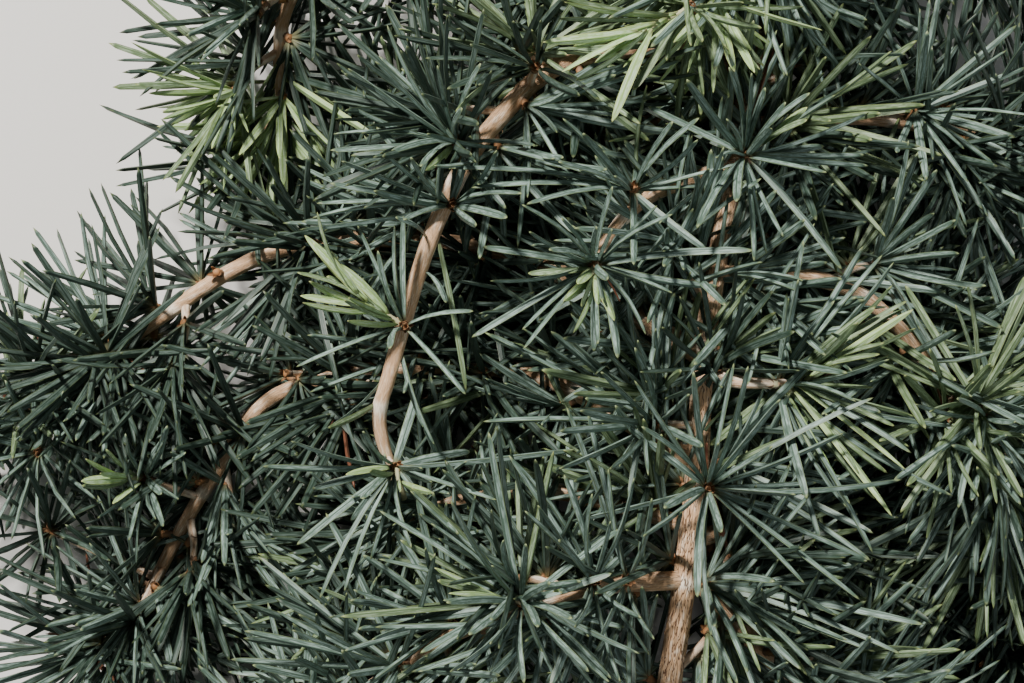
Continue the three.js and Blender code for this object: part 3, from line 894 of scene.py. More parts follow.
class Skin:
    """Points, faces, UVs and point values of one mesh, gathered tube by tube."""

    def __init__(self):
        self.points = []
        self.faces = []
        self.uvs = []
        self.rise = []
        self.age = []
        self.count = 0

    def add_tube(self, route, distances, radii, sides, relief, age):
        """A closed tube. relief is how far each point stands out past the radius, in millimetres."""
        centres, headings = route.at(distances), route.heading(distances)
        normal = square_to(headings[0], UP)
        turn = np.arange(sides) * 2 * math.pi / sides
        rings = []
        for centre, heading, radius, lift in zip(centres, headings, radii, relief):
            normal = square_to(heading, normal)
            across = np.cross(heading, normal)
            reach = (radius + lift)[:, None]
            rings.append(centre + reach * (np.cos(turn)[:, None] * normal + np.sin(turn)[:, None] * across))
        faces, uvs = closed_tube(sides, distances, (distances[0], distances[-1]), self.count)
        self.faces += faces
        self.uvs += uvs
        level = np.clip(relief / max(float(relief.max()), TINY), 0, 1).ravel()
        self.rise.append(np.concatenate([level, [0.5, 0.5]]))
        self.age.append(np.concatenate([np.repeat(age, sides), [age[0], age[-1]]]))
        self.points.append(np.concatenate([*rings, centres[:1], centres[-1:]]))
        self.count += len(self.points[-1])

    def build(self, name, material):
        mesh = mesh_of(name, in_metres(np.concatenate(self.points)), self.faces, self.uvs)
        point_attribute(mesh, "rise", "FLOAT", np.concatenate(self.rise))
        point_attribute(mesh, "age", "FLOAT", np.concatenate(self.age))
        mesh.shade_smooth()
        return new_object(name, mesh, material)


def waves(rng, distances, turn, count, pitch, most_turns):
    """Smooth unevenness over a tube's skin, from -1 to 1, the same on both sides of its seam."""
    total = np.zeros((len(distances), len(turn)))
    for _ in range(count):
        around = int(rng.integers(0, most_turns + 1))
        along = rng.uniform(0.4, 1.4) * 2 * math.pi / pitch
        total += np.sin(along * distances[:, None] + around * turn[None, :] + rng.uniform(0, 2 * math.pi))
    return total / count


BARK_SEED = 3
# The width of a row of leaf cushions, and the share of a cushion by which each row is offset from the last
ROW_WIDTH = 1.2
ROW_OFFSET = 0.618


def bark_relief(name, distances, sides, radii, height, cushion):
    """Leaf cushions in staggered rows on wavy skin, each rising to a small step at its end."""
    rng = seeded(name, BARK_SEED)
    turn = np.arange(sides) * 2 * math.pi / sides
    rows = max(5, int(round(2 * math.pi * float(np.mean(radii)) / ROW_WIDTH)))
    wander = 0.5 * waves(rng, distances, turn, 5, 18, 2)
    across = turn[None, :] / (2 * math.pi) * rows + wander
    row = np.floor(across)
    crest = np.cos(math.pi * (across - row - 0.5)) ** 0.8
    step = distances[:, None] / cushion + (row % rows) * ROW_OFFSET
    climb = step - np.floor(step)
    peg = climb ** 1.6 * np.clip((1 - climb) / 0.12, 0, 1)
    rough = 0.5 + 0.5 * waves(rng, distances, turn, 9, 5, 7)
    return height * (crest * (0.35 + 0.65 * peg) + 0.3 * rough) / 1.3


def year_rings(distances, height):
    """Low collars of old bud scale scars, one for each year's growth."""
    year = 47.0
    offset = 31.0
    half_width = 1.3
    gap = (distances - offset + year / 2) % year - year / 2
    return height * np.exp(-(gap / half_width) ** 2)[:, None]


# Node helpers


class Signal:
    """A number that changes over a surface. Sums with it make Math nodes."""

    def __init__(self, tree, output):
        self.tree = tree
        self.output = output

    def maths(self, operation, *values):
        """A Math node's result on the given values, or on this number alone."""
        node = add(self.tree, "ShaderNodeMath", dict(enumerate(values or (self,))), operation=operation)
        return Signal(self.tree, node.outputs[0])

    def __add__(self, other):
        return self.maths("ADD", self, other)

    def __sub__(self, other):
        return self.maths("SUBTRACT", self, other)

    def __rsub__(self, other):
        return self.maths("SUBTRACT", other, self)

    def __mul__(self, other):
        return self.maths("MULTIPLY", self, other)

    def __rtruediv__(self, other):
        return self.maths("DIVIDE", other, self)

    def __abs__(self):
        return self.maths("ABSOLUTE")

    def ramp(self, low, high):
        """Goes smoothly from 0 to 1 while the number goes from low to high."""
        node = add(self.tree, "ShaderNodeMapRange", {"Value": self, "From Min": low, "From Max": high},
                   interpolation_type="SMOOTHSTEP")
        return Signal(self.tree, node.outputs["Result"])


def feed(tree, socket, value):
    """Links an input to an output, or sets it to a plain value."""
    if isinstance(value, Signal):
        value = value.output
    if isinstance(value, bpy.types.NodeSocket):
        tree.links.new(value, socket)
    elif socket.type == "RGBA":
        socket.default_value = (*value[:3], 1.0)
    else:
        socket.default_value = value


def add(tree, kind, inputs=None, **options):
    """A node with its options, and what its inputs are linked or set to."""
    node = tree.nodes.new(kind)
    for key, value in options.items():
        setattr(node, key, value)
    for key, value in (inputs or {}).items():
        feed(tree, node.inputs[key], value)
    return node


def new_tree(name, kind, inputs, outputs):
    """A node group. An input has a title, a type and a default, and an output has a title and a type."""
    tree = bpy.data.node_groups.new(name, kind)
    for title, socket_type, value in inputs:
        socket = tree.interface.new_socket(title, in_out="INPUT", socket_type=socket_type)
        if value is not None:
            socket.default_value = value
    for title, socket_type in outputs:
        tree.interface.new_socket(title, in_out="OUTPUT", socket_type=socket_type)
    return tree


def socket_id(tree, title):
    return next(item.identifier for item in tree.interface.items_tree if item.name == title)


def mixed(tree, share, first, second):
    """One colour mixed over another by a share."""
    return add(tree, "ShaderNodeMix", {"Factor": share, 6: first, 7: second}, data_type="RGBA").outputs[2]


def shifted(tree, colour, hue, saturation, value):
    """A colour with its hue, saturation and brightness changed."""
    return add(tree, "ShaderNodeHueSaturation", {
        "Color": colour, "Hue": hue, "Saturation": saturation, "Value": value}).outputs[0]


def noise(tree, place, scale, detail, roughness=0.5):
    node = add(tree, "ShaderNodeTexNoise", {
        "Vector": place, "Scale": scale, "Detail": detail, "Roughness": roughness})
    return Signal(tree, node.outputs["Fac"])


def own_place(tree):
    """The place on a piece, in Object coordinates."""
    return add(tree, "ShaderNodeTexCoord").outputs["Object"]


def own_value(tree, name):
    """A value that each point of a piece has."""
    return Signal(tree, add(tree, "ShaderNodeAttribute", attribute_name=name).outputs["Fac"])


def uv_signals(tree):
    """The piece's own UV map: turns round it, and the way along it."""
    uv = add(tree, "ShaderNodeUVMap", uv_map="UVMap")
    split = add(tree, "ShaderNodeSeparateXYZ", {"Vector": uv.outputs[0]})
    return Signal(tree, split.outputs["X"]), Signal(tree, split.outputs["Y"])


def new_material(name, roughness, specular):
    material = bpy.data.materials.new(name)
    material.use_nodes = True
    shader = material.node_tree.nodes["Principled BSDF"]
    shader.inputs["Roughness"].default_value = roughness
    shader.inputs["Specular IOR Level"].default_value = specular
    return material, material.node_tree, shader


def dress(tree, shader, colour, height, strength, distance=0.0001):
    """Gives a shader its colour, and bumps of a given strength and height in metres."""
    bump = add(tree, "ShaderNodeBump", {"Height": height, "Strength": strength, "Distance": distance})
    feed(tree, shader.inputs["Base Color"], colour)
    feed(tree, shader.inputs["Normal"], bump.outputs[0])


# Finishes


SHEATH_COLOUR = (0.42, 0.40, 0.22)
LATE_WOOD = (0.46, 0.30, 0.15)
EARLY_WOOD = (0.72, 0.58, 0.38)
PITH = (0.16, 0.08, 0.04)


@functools.lru_cache(maxsize=1)
def needle_finish():
    """A needle's colouring: pale waxy lines down each face, yellowish margins and a straw-coloured tip."""
    tree = new_tree("needle finish", "ShaderNodeTree", (
        ("Face", "NodeSocketColor", (0.1, 0.15, 0.1, 1)), ("Band", "NodeSocketColor", (0.3, 0.38, 0.32, 1)),
        ("Tip", "NodeSocketColor", (0.5, 0.36, 0.14, 1)), ("Band strength", "NodeSocketFloat", 0.95),
        ("Variation", "NodeSocketFloat", 0.5)),
        (("Color", "NodeSocketColor"), ("Roughness", "NodeSocketFloat"), ("Height", "NodeSocketFloat")))
    given = add(tree, "NodeGroupInput").outputs
    around, along = uv_signals(tree)
    tint = own_value(tree, "tint")

    # A pale line on each side of a face's middle, with a fainter band between, short of the foot and the tip
    from_middle = abs((around * 4.0).maths("FRACT") - 0.5)
    outer = from_middle.ramp(0.26, 0.4)
    band = (from_middle.ramp(0.0, 0.1) - outer) * 0.45 + (1.0 - outer) * 0.55
    band = band * along.ramp(0.03, 0.12) * (1.0 - along.ramp(0.86, 0.97))

    # The wax is broken into streaks, and worn in patches over the whole branch
    lines = add(tree, "ShaderNodeCombineXYZ", {"X": around * 17.0, "Y": along * 11.0, "Z": tint * 50.0})
    streak = noise(tree, lines.outputs[0], 1.0, 2.0, 0.6)
    bloom = noise(tree, own_place(tree), 160.0, 2.0)
    band = band * (streak.ramp(0.4, 0.58) * 0.95 + 0.18) * (bloom.ramp(0.35, 0.6) * 0.5 + 0.55)
    band = band * Signal(tree, given["Band strength"])
    colour = mixed(tree, band, given["Face"], given["Band"])

    # Each needle is a little darker or lighter than the next
    darker = shifted(tree, colour, 0.49, 1.15, 0.62)
    lighter = shifted(tree, colour, 0.505, 0.92, 1.35)
    colour = mixed(tree, given["Variation"], colour, mixed(tree, tint, darker, lighter))

    margin = abs((around * 2.0).maths("FRACT") - 0.5).ramp(0.42, 0.5)
    colour = mixed(tree, margin * 0.6, colour, given["Tip"])
    colour = mixed(tree, (1.0 - along.ramp(0.0, 0.1)) * 0.6, colour, SHEATH_COLOUR)
    colour = mixed(tree, along.ramp(0.95, 0.99) * 0.8, colour, given["Tip"])
    add(tree, "NodeGroupOutput", {"Color": colour, "Roughness": band * 0.22 + 0.44, "Height": band * -1.0})
    return tree


def needle_material(name, face, band, tip, strength):
    material, tree, shader = new_material(name, 0.45, 0.36)
    finish = add(tree, "ShaderNodeGroup", {"Face": face, "Band": band, "Tip": tip, "Band strength": strength},
                 node_tree=needle_finish()).outputs
    feed(tree, shader.inputs["Roughness"], finish["Roughness"])
    dress(tree, shader, finish["Color"], finish["Height"], 0.25)
    return material


@functools.lru_cache(maxsize=1)
def grain_finish():
    """Fine grain and blotches for bark, stubs and scales, in Object coordinates."""
    tree = new_tree("woody grain", "ShaderNodeTree", (
        ("Grain size", "NodeSocketFloat", 0.0006), ("Blotch size", "NodeSocketFloat", 0.006)),
        (("Grain", "NodeSocketFloat"), ("Blotch", "NodeSocketFloat")))
    given = add(tree, "NodeGroupInput").outputs
    place = own_place(tree)
    add(tree, "NodeGroupOutput", {
        "Grain": noise(tree, place, 1.0 / Signal(tree, given["Grain size"]), 4.0, 0.6),
        "Blotch": noise(tree, place, 1.0 / Signal(tree, given["Blotch size"]), 3.0, 0.6)})
    return tree


def woody_grain(tree):
    """The grain and the blotches of a woody material."""
    outputs = add(tree, "ShaderNodeGroup", node_tree=grain_finish()).outputs
    return Signal(tree, outputs["Grain"]), Signal(tree, outputs["Blotch"])


def bark_lines(tree):
    """Lengthwise fibres and long cracks of bark, from the tube's UV map. V is in millimetres."""
    around, along = uv_signals(tree)
    angle = around * (2 * math.pi)
    place = add(tree, "ShaderNodeCombineXYZ", {
        "X": angle.maths("COSINE") * 2.8, "Y": angle.maths("SINE") * 2.8, "Z": along * 0.17}).outputs[0]
    fibre = noise(tree, place, 2.6, 4.0, 0.65)
    braid = noise(tree, place, 1.5, 2.5, 0.55)
    return fibre, 1.0 - abs(braid - 0.5).ramp(0.008, 0.04)


def bark_material(look):
    """Cream ridges, tan skin and rusty patches, dark cracks in old wood, and a greener skin on young tips."""
    material, tree, shader = new_material("cedar bark", 0.78, 0.3)
    grain, blotch = woody_grain(tree)
    rise, age = own_value(tree, "rise"), own_value(tree, "age")
    fibre, crack = bark_lines(tree)
    crack = crack * age.ramp(0.1, 1.0)
    colour = mixed(tree, (rise * 0.4 + fibre * 0.6).ramp(0.38, 0.58), look.skin, look.ridge)
    colour = mixed(tree, blotch.ramp(0.48, 0.66) * 0.5, colour, look.rust)
    colour = mixed(tree, crack, colour, look.furrow)
    colour = mixed(tree, 0.8 - age.ramp(0.0, 0.3) * 0.8, colour, look.young_skin)
    dress(tree, shader, colour, grain * 0.3 + fibre * 0.6 - crack, 0.8, 0.00022)
    return material


def scale_material(name, foot, end):
    """Papery brown scales and stubs: darker at the foot, rusty at the end."""
    material, tree, shader = new_material(name, 0.62, 0.4)
    grain, _ = woody_grain(tree)
    _, along = uv_signals(tree)
    level = along + (grain - 0.5) * 0.7
    dress(tree, shader, mixed(tree, level.ramp(0.1, 0.9), foot, end), grain, 0.5)
    return material


def cut_wood_material():
    """Fresh sawn wood: fine growth rings round a dark pith, and faint saw marks."""
    material, tree, shader = new_material("sawn wood", 0.6, 0.35)
    _, out = uv_signals(tree)
    marks = noise(tree, own_place(tree), 900.0, 3.0)
    uneven = out + marks * 0.06
    late = (uneven * 5.0).maths("FRACT").ramp(0.55, 0.95)
    colour = mixed(tree, 1.0 - uneven.ramp(0.06, 0.13), mixed(tree, late, EARLY_WOOD, LATE_WOOD), PITH)
    dress(tree, shader, colour, marks + late * 0.4, 0.4)
    return material


# Small shapes that are set many times


NEEDLE_LENGTH = 33.0
NEEDLE_WIDTH = 1.4
NEEDLE_THICKNESS = 1.05
# How much of a needle's thickness goes with its width. The rest goes with its length.
THICKNESS_FROM_WIDTH = 0.35
# How broad a needle is along its length: narrow at the foot, even to near the end, then a short blunt point
NEEDLE_OUTLINE = ((0, 0.05, 0.14, 0.3, 0.75, 0.88, 0.95, 0.985), (0.58, 0.7, 0.88, 1.0, 1.0, 0.9, 0.66, 0.34))
# Young needles narrow to their point over a longer way
YOUNG_OUTLINE = ((0, 0.08, 0.22, 0.6, 0.78, 0.9, 0.97), (0.34, 0.6, 0.95, 1.0, 0.88, 0.6, 0.26))
# Where each family's needles have their rings, in shares of their length, and their outline
NEEDLE_BUILD = {"fine": ((0, 0.1, 0.35, 0.6, 0.82, 0.93, 0.975), NEEDLE_OUTLINE),
                "plain": ((0, 0.14, 0.6, 0.94), NEEDLE_OUTLINE),
                "young": ((0, 0.1, 0.35, 0.62, 0.8, 0.91, 0.97), YOUNG_OUTLINE)}


def small_mesh(name, points, faces, uvs, ridges=0):
    """A shape for instancing, its points in millimetres. Its lengthwise edges are sharp if it has ridges."""
    mesh = mesh_of(name, np.array(points, float) * MM, faces, uvs)
    mesh.shade_smooth()
    if ridges:
        sharp = mesh.attributes.new("sharp_edge", "BOOLEAN", "EDGE")
        for edge in mesh.edges:
            a, b = edge.vertices
            sharp.data[edge.index].value = abs(a - b) == ridges
    return bpy.data.objects.new(name, mesh)


def pointed_shape(name, rings, tip, along, rim, ridges=0):
    """A closed shape over rings of points, with a flat foot and a pointed tip.

    along is V at each ring, and rim is V round the foot of the point.
    """
    sides = len(rings[0])
    faces, uvs = ring_faces(sides, along)
    top = (len(rings) - 1) * sides
    for k in range(sides):
        faces.append((top + k, top + (k + 1) % sides, top + sides))
        uvs += [(k / sides, rim), ((k + 1) / sides, rim), ((k + 0.5) / sides, 1.0)]
    faces.append(tuple(range(sides - 1, -1, -1)))
    uvs += [(0, 0)] * sides
    return small_mesh(name, [*(point for ring in rings for point in ring), tip], faces, uvs, ridges)


def needle_shape(name, shape):
    """One needle along +Z, diamond in section and curved towards +Y."""
    stations, outline = NEEDLE_BUILD[shape.family]
    rings = []
    for t, share in zip(stations, np.interp(stations, *outline)):
        middle = shape.bend * NEEDLE_LENGTH * t ** BEND_POWER
        rings.append([(x * NEEDLE_WIDTH * share, middle + y * NEEDLE_THICKNESS * share, t * NEEDLE_LENGTH)
                      for x, y in ((0.5, 0), (0, 0.5), (-0.5, 0), (0, -0.5))])
    tip = (0, shape.bend * NEEDLE_LENGTH, NEEDLE_LENGTH)
    return pointed_shape(name, rings, tip, stations, stations[-1], ridges=4)


def stub_shape():
    """A short shoot along +Z, one millimetre in radius and length, ringed by the scars of old bud scales."""
    sides = 8
    profile = ((0.95, -0.2), (0.8, 0.1), (0.98, 0.24), (0.8, 0.34), (1.0, 0.5), (0.84, 0.6), (1.06, 0.78),
               (0.92, 0.92), (0.5, 1.04))
    rings = []
    for radius, height in profile:
        ring = []
        for k in range(sides):
            angle = 2 * math.pi * k / sides
            reach = radius * (1 + 0.06 * math.sin(3 * angle + 9 * height))
            ring.append((reach * math.cos(angle), reach * math.sin(angle), height))
        rings.append(ring)
    along = [i / len(profile) for i in range(len(profile))]
    return pointed_shape("stub", rings, (0, 0, 1.1), along, rim=0.95)


def scale_shape():
    """A papery bud scale along +Z, a millimetre long and wide, cupped towards +Y and pointed."""
    outline = ((0.0, 0.35), (0.35, 0.5), (0.7, 0.36))
    points = []
    for depth in (0.0, -0.09):
        for height, half in outline:
            cup = 0.22 * height ** 2
            points += [(-half, cup + 0.12 + depth, height), (0, cup + depth, height),
                       (half, cup + 0.12 + depth, height)]
        points.append((0, 0.3 + depth, 1.0))

    # The faces of one side, each with the V of its corners
    cells = []
    for i, (low, high) in enumerate(((0.0, 0.35), (0.35, 0.7))):
        for k in (0, 1):
            left = 3 * i + k
            cells.append(((left, left + 1, left + 4, left + 3), (low, low, high, high)))
    cells += [((6 + k, 7 + k, 9), (0.7, 0.7, 1.0)) for k in (0, 1)]
    faces, uvs = [], []
    per_side = len(points) // 2
    for first, order in ((0, -1), (per_side, 1)):
        for corners, heights in cells:
            faces.append(tuple(first + corner for corner in corners[::order]))
            uvs += [(0.5, v) for v in heights[::order]]
    rim = [0, 3, 6, 9, 8, 5, 2, 1]
    for a, b in zip(rim, rim[1:] + rim[:1]):
        faces.append((a, b, b + per_side, a + per_side))
        uvs += [(0, 0.5)] * 4
    return small_mesh("bud_scale", points, faces, uvs)


# Setting the small shapes on their points


def spray_tree(name, shapes):
    """Geometry nodes that set each point's own shape on it, turned to its aim and face, in its size."""
    inputs = [("Geometry", "NodeSocketGeometry", None), ("Material", "NodeSocketMaterial", None),
              ("Length", "NodeSocketFloat", 1.0), ("Width", "NodeSocketFloat", 1.0)]
    inputs += [(shape.name, "NodeSocketObject", None) for shape in shapes]
    tree = new_tree(name, "GeometryNodeTree", inputs, [("Geometry", "NodeSocketGeometry")])
    given = add(tree, "NodeGroupInput").outputs

    def named(title, data_type):
        node = add(tree, "GeometryNodeInputNamedAttribute", {"Name": title}, data_type=data_type)
        return node.outputs["Attribute"]

    aim, face, own_size = (named(title, "FLOAT_VECTOR") for title in ("aim", "face", "size"))
    turn = add(tree, "FunctionNodeAxesToRotation", {"Primary Axis": aim, "Secondary Axis": face},
               primary_axis="Z", secondary_axis="Y").outputs[0]
    drawn = add(tree, "ShaderNodeCombineXYZ",
                {"X": given["Width"], "Y": given["Length"], "Z": given["Length"]}).outputs[0]
    size = add(tree, "ShaderNodeVectorMath", {0: own_size, 1: drawn}, operation="MULTIPLY").outputs[0]
    together = add(tree, "GeometryNodeJoinGeometry")
    for number, shape in enumerate(shapes):
        own = add(tree, "FunctionNodeCompare", {2: named("shape", "INT"), 3: number},
                  data_type="INT", operation="EQUAL")
        source = add(tree, "GeometryNodeObjectInfo", {"Object": given[shape.name]})
        placed = add(tree, "GeometryNodeInstanceOnPoints",
                     {"Points": given["Geometry"], "Selection": own.outputs[0],
                      "Instance": source.outputs["Geometry"], "Rotation": turn, "Scale": size})
        feed(tree, together.inputs[0], placed.outputs[0])
    real = add(tree, "GeometryNodeRealizeInstances", {"Geometry": together.outputs[0]})
    finished = add(tree, "GeometryNodeSetMaterial",
                   {"Geometry": real.outputs[0], "Material": given["Material"]})
    add(tree, "NodeGroupOutput", {"Geometry": finished.outputs[0]})
    return tree


def set_on_points(name, tree, shapes, rows, material):
    """A plain mesh of small shapes. A row holds place, aim, face, size in three axes, tint and shape."""
    rows = np.array(rows, float)
    points = bpy.data.meshes.new(name + "_points")
    points.from_pydata(in_metres(rows[:, 0:3]).tolist(), [], [])
    for title, column in (("aim", 3), ("face", 6), ("size", 9)):
        point_attribute(points, title, "FLOAT_VECTOR", rows[:, column:column + 3])
    point_attribute(points, "tint", "FLOAT", rows[:, 12])
    point_attribute(points, "shape", "INT", rows[:, 13])
    obj = new_object(name, points, None)
    modifier = obj.modifiers.new("spray", "NODES")
    modifier.node_group = tree
    modifier[socket_id(tree, "Material")] = material
    for shape in shapes:
        modifier[socket_id(tree, shape.name)] = shape
    graph = bpy.context.evaluated_depsgraph_get()
    mesh = bpy.data.meshes.new_from_object(obj.evaluated_get(graph))
    obj.modifiers.remove(modifier)
    mesh.name = name
    obj.data = mesh
    bpy.data.meshes.remove(points)
    for attribute in ("aim", "face", "size", "shape"):
        if attribute in mesh.attributes:
            mesh.attributes.remove(mesh.attributes[attribute])
    triangles = sum(len(polygon.vertices) - 2 for polygon in mesh.polygons)
    if not 0 < triangles < MOST_TRIANGLES:
        raise RuntimeError(f"{name} has {triangles} triangles")
    print(f"piece {name}: {len(rows)} set, {triangles} triangles")
    return obj


# What a user can change


def colour_property(name, description, default):
    return bpy.props.FloatVectorProperty(name=name, description=description, default=default,
                                         subtype="COLOR", min=0, max=1)


def length_property(name, description, millimetres):
    return bpy.props.FloatProperty(name=name, description=description, default=millimetres * MM,
                                   unit="LENGTH")


class CedarWoodLook(bpy.types.PropertyGroup):
    relief: length_property("Bark relief", "Height of the leaf cushions on the bark", 0.15)
    cushion: length_property("Cushion length", "Length of one leaf cushion", 8)
    ridge: colour_property("Ridge colour", "Bark on the ridges", (0.96, 0.83, 0.66))
    skin: colour_property("Bark colour", "Bark between ridge and furrow", (0.66, 0.42, 0.24))
    rust: colour_property("Rusty colour", "Patches where thin scales peel off", (0.58, 0.34, 0.19))
    furrow: colour_property("Furrow colour", "Bark in the furrows", (0.13, 0.065, 0.035))
    young_skin: colour_property("Young bark", "Skin of the growing tips", (0.42, 0.46, 0.26))


class CedarNeedleLook(bpy.types.PropertyGroup):
    seed: bpy.props.IntProperty(name="Seed", description="Seed of the branching", default=7)
    length: length_property("Needle length", "Length of the longest mature needles", 38)
    width: length_property("Needle width", "Width of a mature needle", 1.62)
    gap: length_property("Short shoot gap", "Distance between short shoots", 4.8)
    twig_every: bpy.props.IntProperty(name="Twig every", description="One side twig for this many shoots",
                                      default=3, min=1)
    per_rosette: bpy.props.IntProperty(name="Needles in a rosette", description="Needles on one short shoot",
                                       default=24, min=3)
    blue: colour_property("Blue-green", "Waxy blue-green needles", (0.078, 0.128, 0.095))
    # The deep colour is both a darker needle colour and painted shade on low sprays and sprays in shade.
    deep: colour_property("Deep green", "Older, darker needles", (0.024, 0.046, 0.031))
    fresh: colour_property("Fresh green", "Greener needles of this year", (0.105, 0.162, 0.072))
    young: colour_property("Young", "Pale needles of the growing tips", (0.27, 0.41, 0.14))
    withered: colour_property("Withered", "Dead needles", (0.16, 0.062, 0.035))


class CedarStageLook(bpy.types.PropertyGroup):
    floor: colour_property("Floor colour", "Colour of the plain floor", (0.80, 0.79, 0.76))
    lens: bpy.props.FloatProperty(name="Lens", description="Focal length in millimetres", default=85.0)
    distance: length_property("Camera distance", "From the camera to the sharpest depth", CAMERA_DISTANCE)
    key_power: bpy.props.FloatProperty(name="Key light", description="Power of the main light in watts",
                                       default=36.0)
    sky: bpy.props.FloatProperty(name="Sky light", description="Strength of the light from all round",
                                 default=0.115)


def growth_of(scene):
    look = scene.cedar_needles
    return grow_branch(GrowthSettings(
        look.seed, look.gap / MM, look.twig_every, look.per_rosette, look.length / MM, look.width / MM))


# The pieces


STEM_SIDES = 48
SHOOT_SIDES = 24
TWIG_SIDES = 8
# Millimetres between the rings of a tube
STEM_STEP = 0.5
SHOOT_STEP = 0.75
TWIG_RINGS = 14
TWIG_RELIEF = 0.1


class CEDAR_OT_stem(bpy.types.Operator):
    """Makes the main stem with its bark relief, from the saw cut to the tip"""

    bl_idname = "cedar.stem"
    bl_label = "Stem"

    def execute(self, context):
        look = context.scene.cedar_wood
        skin = Skin()
        distances = np.arange(STEM.where_y(CUT_Y), STEM.length, STEM_STEP)
        share = distances / STEM.length
        radii = np.interp(share, (0, 0.93, 1), (STEM_RADII[0], STEM_RADII[1] * 1.05, 0.6))
        height = look.relief / MM * 2
        relief = bark_relief("bark", distances, STEM_SIDES, radii, height, look.cushion / MM)
        relief = relief + year_rings(distances, 0.25)
        age = np.interp(share, (0, 0.5, 0.86, 1), (1, 0.9, 0.5, 0))
        skin.add_tube(STEM, distances, radii - height * 0.5, STEM_SIDES, relief, age)
        square_the_foot(skin.points[0])
        piece = skin.build("main_stem_bark", bark_material(look))
        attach(piece, "root")
        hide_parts("main_stem")
        return {"FINISHED"}


def square_the_foot(points):
    """Brings the stem's first ring, and every point past the saw's plane, onto that plane."""
    points[:, 1] = np.maximum(points[:, 1], CUT_Y)
    points[:STEM_SIDES, 1] = CUT_Y


class CEDAR_OT_shoots(bpy.types.Operator):
    """Makes the side shoots with their bark relief"""

    bl_idname = "cedar.shoots"
    bl_label = "Side shoots"

    def execute(self, context):
        look = context.scene.cedar_wood
        skin = Skin()
        for shoot in SHOOTS:
            route = shoot_route(shoot)
            distances = np.append(np.arange(0, route.length, SHOOT_STEP), route.length)
            share = distances / route.length
            tip = shoot.radius * SHOOT_TIP_SHARE
            radii = np.interp(share, (0, 0.9, 1), (shoot.radius, tip, tip * 0.55))
            height = look.relief / MM
            relief = bark_relief(shoot.name, distances, SHOOT_SIDES, radii, height, look.cushion / MM)
            relief = relief + year_rings(distances, 0.12)
            youngest = 0.0 if shoot.foliage[-1].young else 0.2
            age = np.interp(share, (0, 0.88, 1), (0.6, 0.35, youngest))
            skin.add_tube(route, distances, radii - height * 0.5, SHOOT_SIDES, relief, age)
        piece = skin.build("side_shoots_bark", bark_material(look))
        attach(piece, "root")
        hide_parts(*[shoot.name for shoot in SHOOTS])
        return {"FINISHED"}


class CEDAR_OT_saw_cut(bpy.types.Operator):
    """Makes the sawn face at the foot of the stem"""

    bl_idname = "cedar.saw_cut"
    bl_label = "Saw cut"

    def execute(self, context):
        start = STEM.where_y(CUT_Y)
        centre, heading = STEM.at(start), STEM.heading(start)
        normal = square_to(heading, UP)
        across = np.cross(heading, normal)
        radius = STEM_RADII[0] - 0.28
        sides, rings = 40, 6
        front, back = -0.12, 0.4
        points, along = [], []
        for depth, order in ((front, range(1, rings + 1)), (back, range(rings, 0, -1))):
            for ring in order:
                along.append(ring / rings)
                for k in range(sides):
                    angle = 2 * math.pi * k / sides
                    offset = radius * ring / rings * (math.cos(angle) * normal + math.sin(angle) * across)
                    point = centre + offset - heading * offset[1] / heading[1]
                    points.append((point[0], CUT_Y + depth, point[2]))
        points += [(centre[0], CUT_Y + depth, centre[2]) for depth in (front, back)]
        faces, uvs = closed_tube(sides, along, (0.0, 0.0))
        mesh = mesh_of("saw_cut", in_metres(points), faces, uvs)
        piece = new_object("saw_cut", mesh, cut_wood_material())
        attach(piece, "root")
        return {"FINISHED"}


class CEDAR_OT_twigs(bpy.types.Operator):
    """Makes the thin side twigs"""

    bl_idname = "cedar.twigs"
    bl_label = "Twigs"

    def execute(self, context):
        look = context.scene.cedar_wood
        skin = Skin()
        for number, twig in enumerate(growth_of(context.scene).twigs):
            distances = np.linspace(0, twig.route.length, TWIG_RINGS)
            radii = np.interp(distances / twig.route.length, (0, 1), (twig.foot, twig.tip))
            relief = bark_relief(f"twig {number}", distances, TWIG_SIDES, radii, TWIG_RELIEF,
                                 look.cushion / MM)
            skin.add_tube(twig.route, distances, radii, TWIG_SIDES, relief, np.full(TWIG_RINGS, twig.age))
        piece = skin.build("twigs_bark", bark_material(look))
        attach(piece, "root")
        return {"FINISHED"}


STUB_COLOURS = ((0.20, 0.13, 0.08), (0.42, 0.20, 0.08))
SCALE_COLOURS = ((0.13, 0.06, 0.025), (0.36, 0.19, 0.09))
EVEN_TINT = 0.5


class CEDAR_OT_short_shoots(bpy.types.Operator):
    """Sets the short shoots and their papery bud scales"""

    bl_idname = "cedar.short_shoots"
    bl_label = "Short shoots and bud scales"

    def execute(self, context):
        growth = growth_of(context.scene)
        stub, scale = stub_shape(), scale_shape()
        rows = []
        for *place_and_axis, radius, length in growth.stubs:
            face = square_to(place_and_axis[3:], (0.2, 0.3, 0.9))
            rows.append((*place_and_axis, *face, radius, radius, length, EVEN_TINT, 0))
        piece = set_on_points("short_shoots", spray_tree("short shoots", [stub]), [stub], rows,
                              scale_material("short shoot bark", *STUB_COLOURS))
        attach(piece, "root")
        rows = [(*turned_place, width, length, length, EVEN_TINT, 0)
                for *turned_place, width, length in growth.scales]
        piece = set_on_points("bud_scales", spray_tree("bud scales", [scale]), [scale], rows,
                              scale_material("papery scale", *SCALE_COLOURS))
        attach(piece, "root")
        for shape in (stub, scale):
            bpy.data.objects.remove(shape)
        return {"FINISHED"}


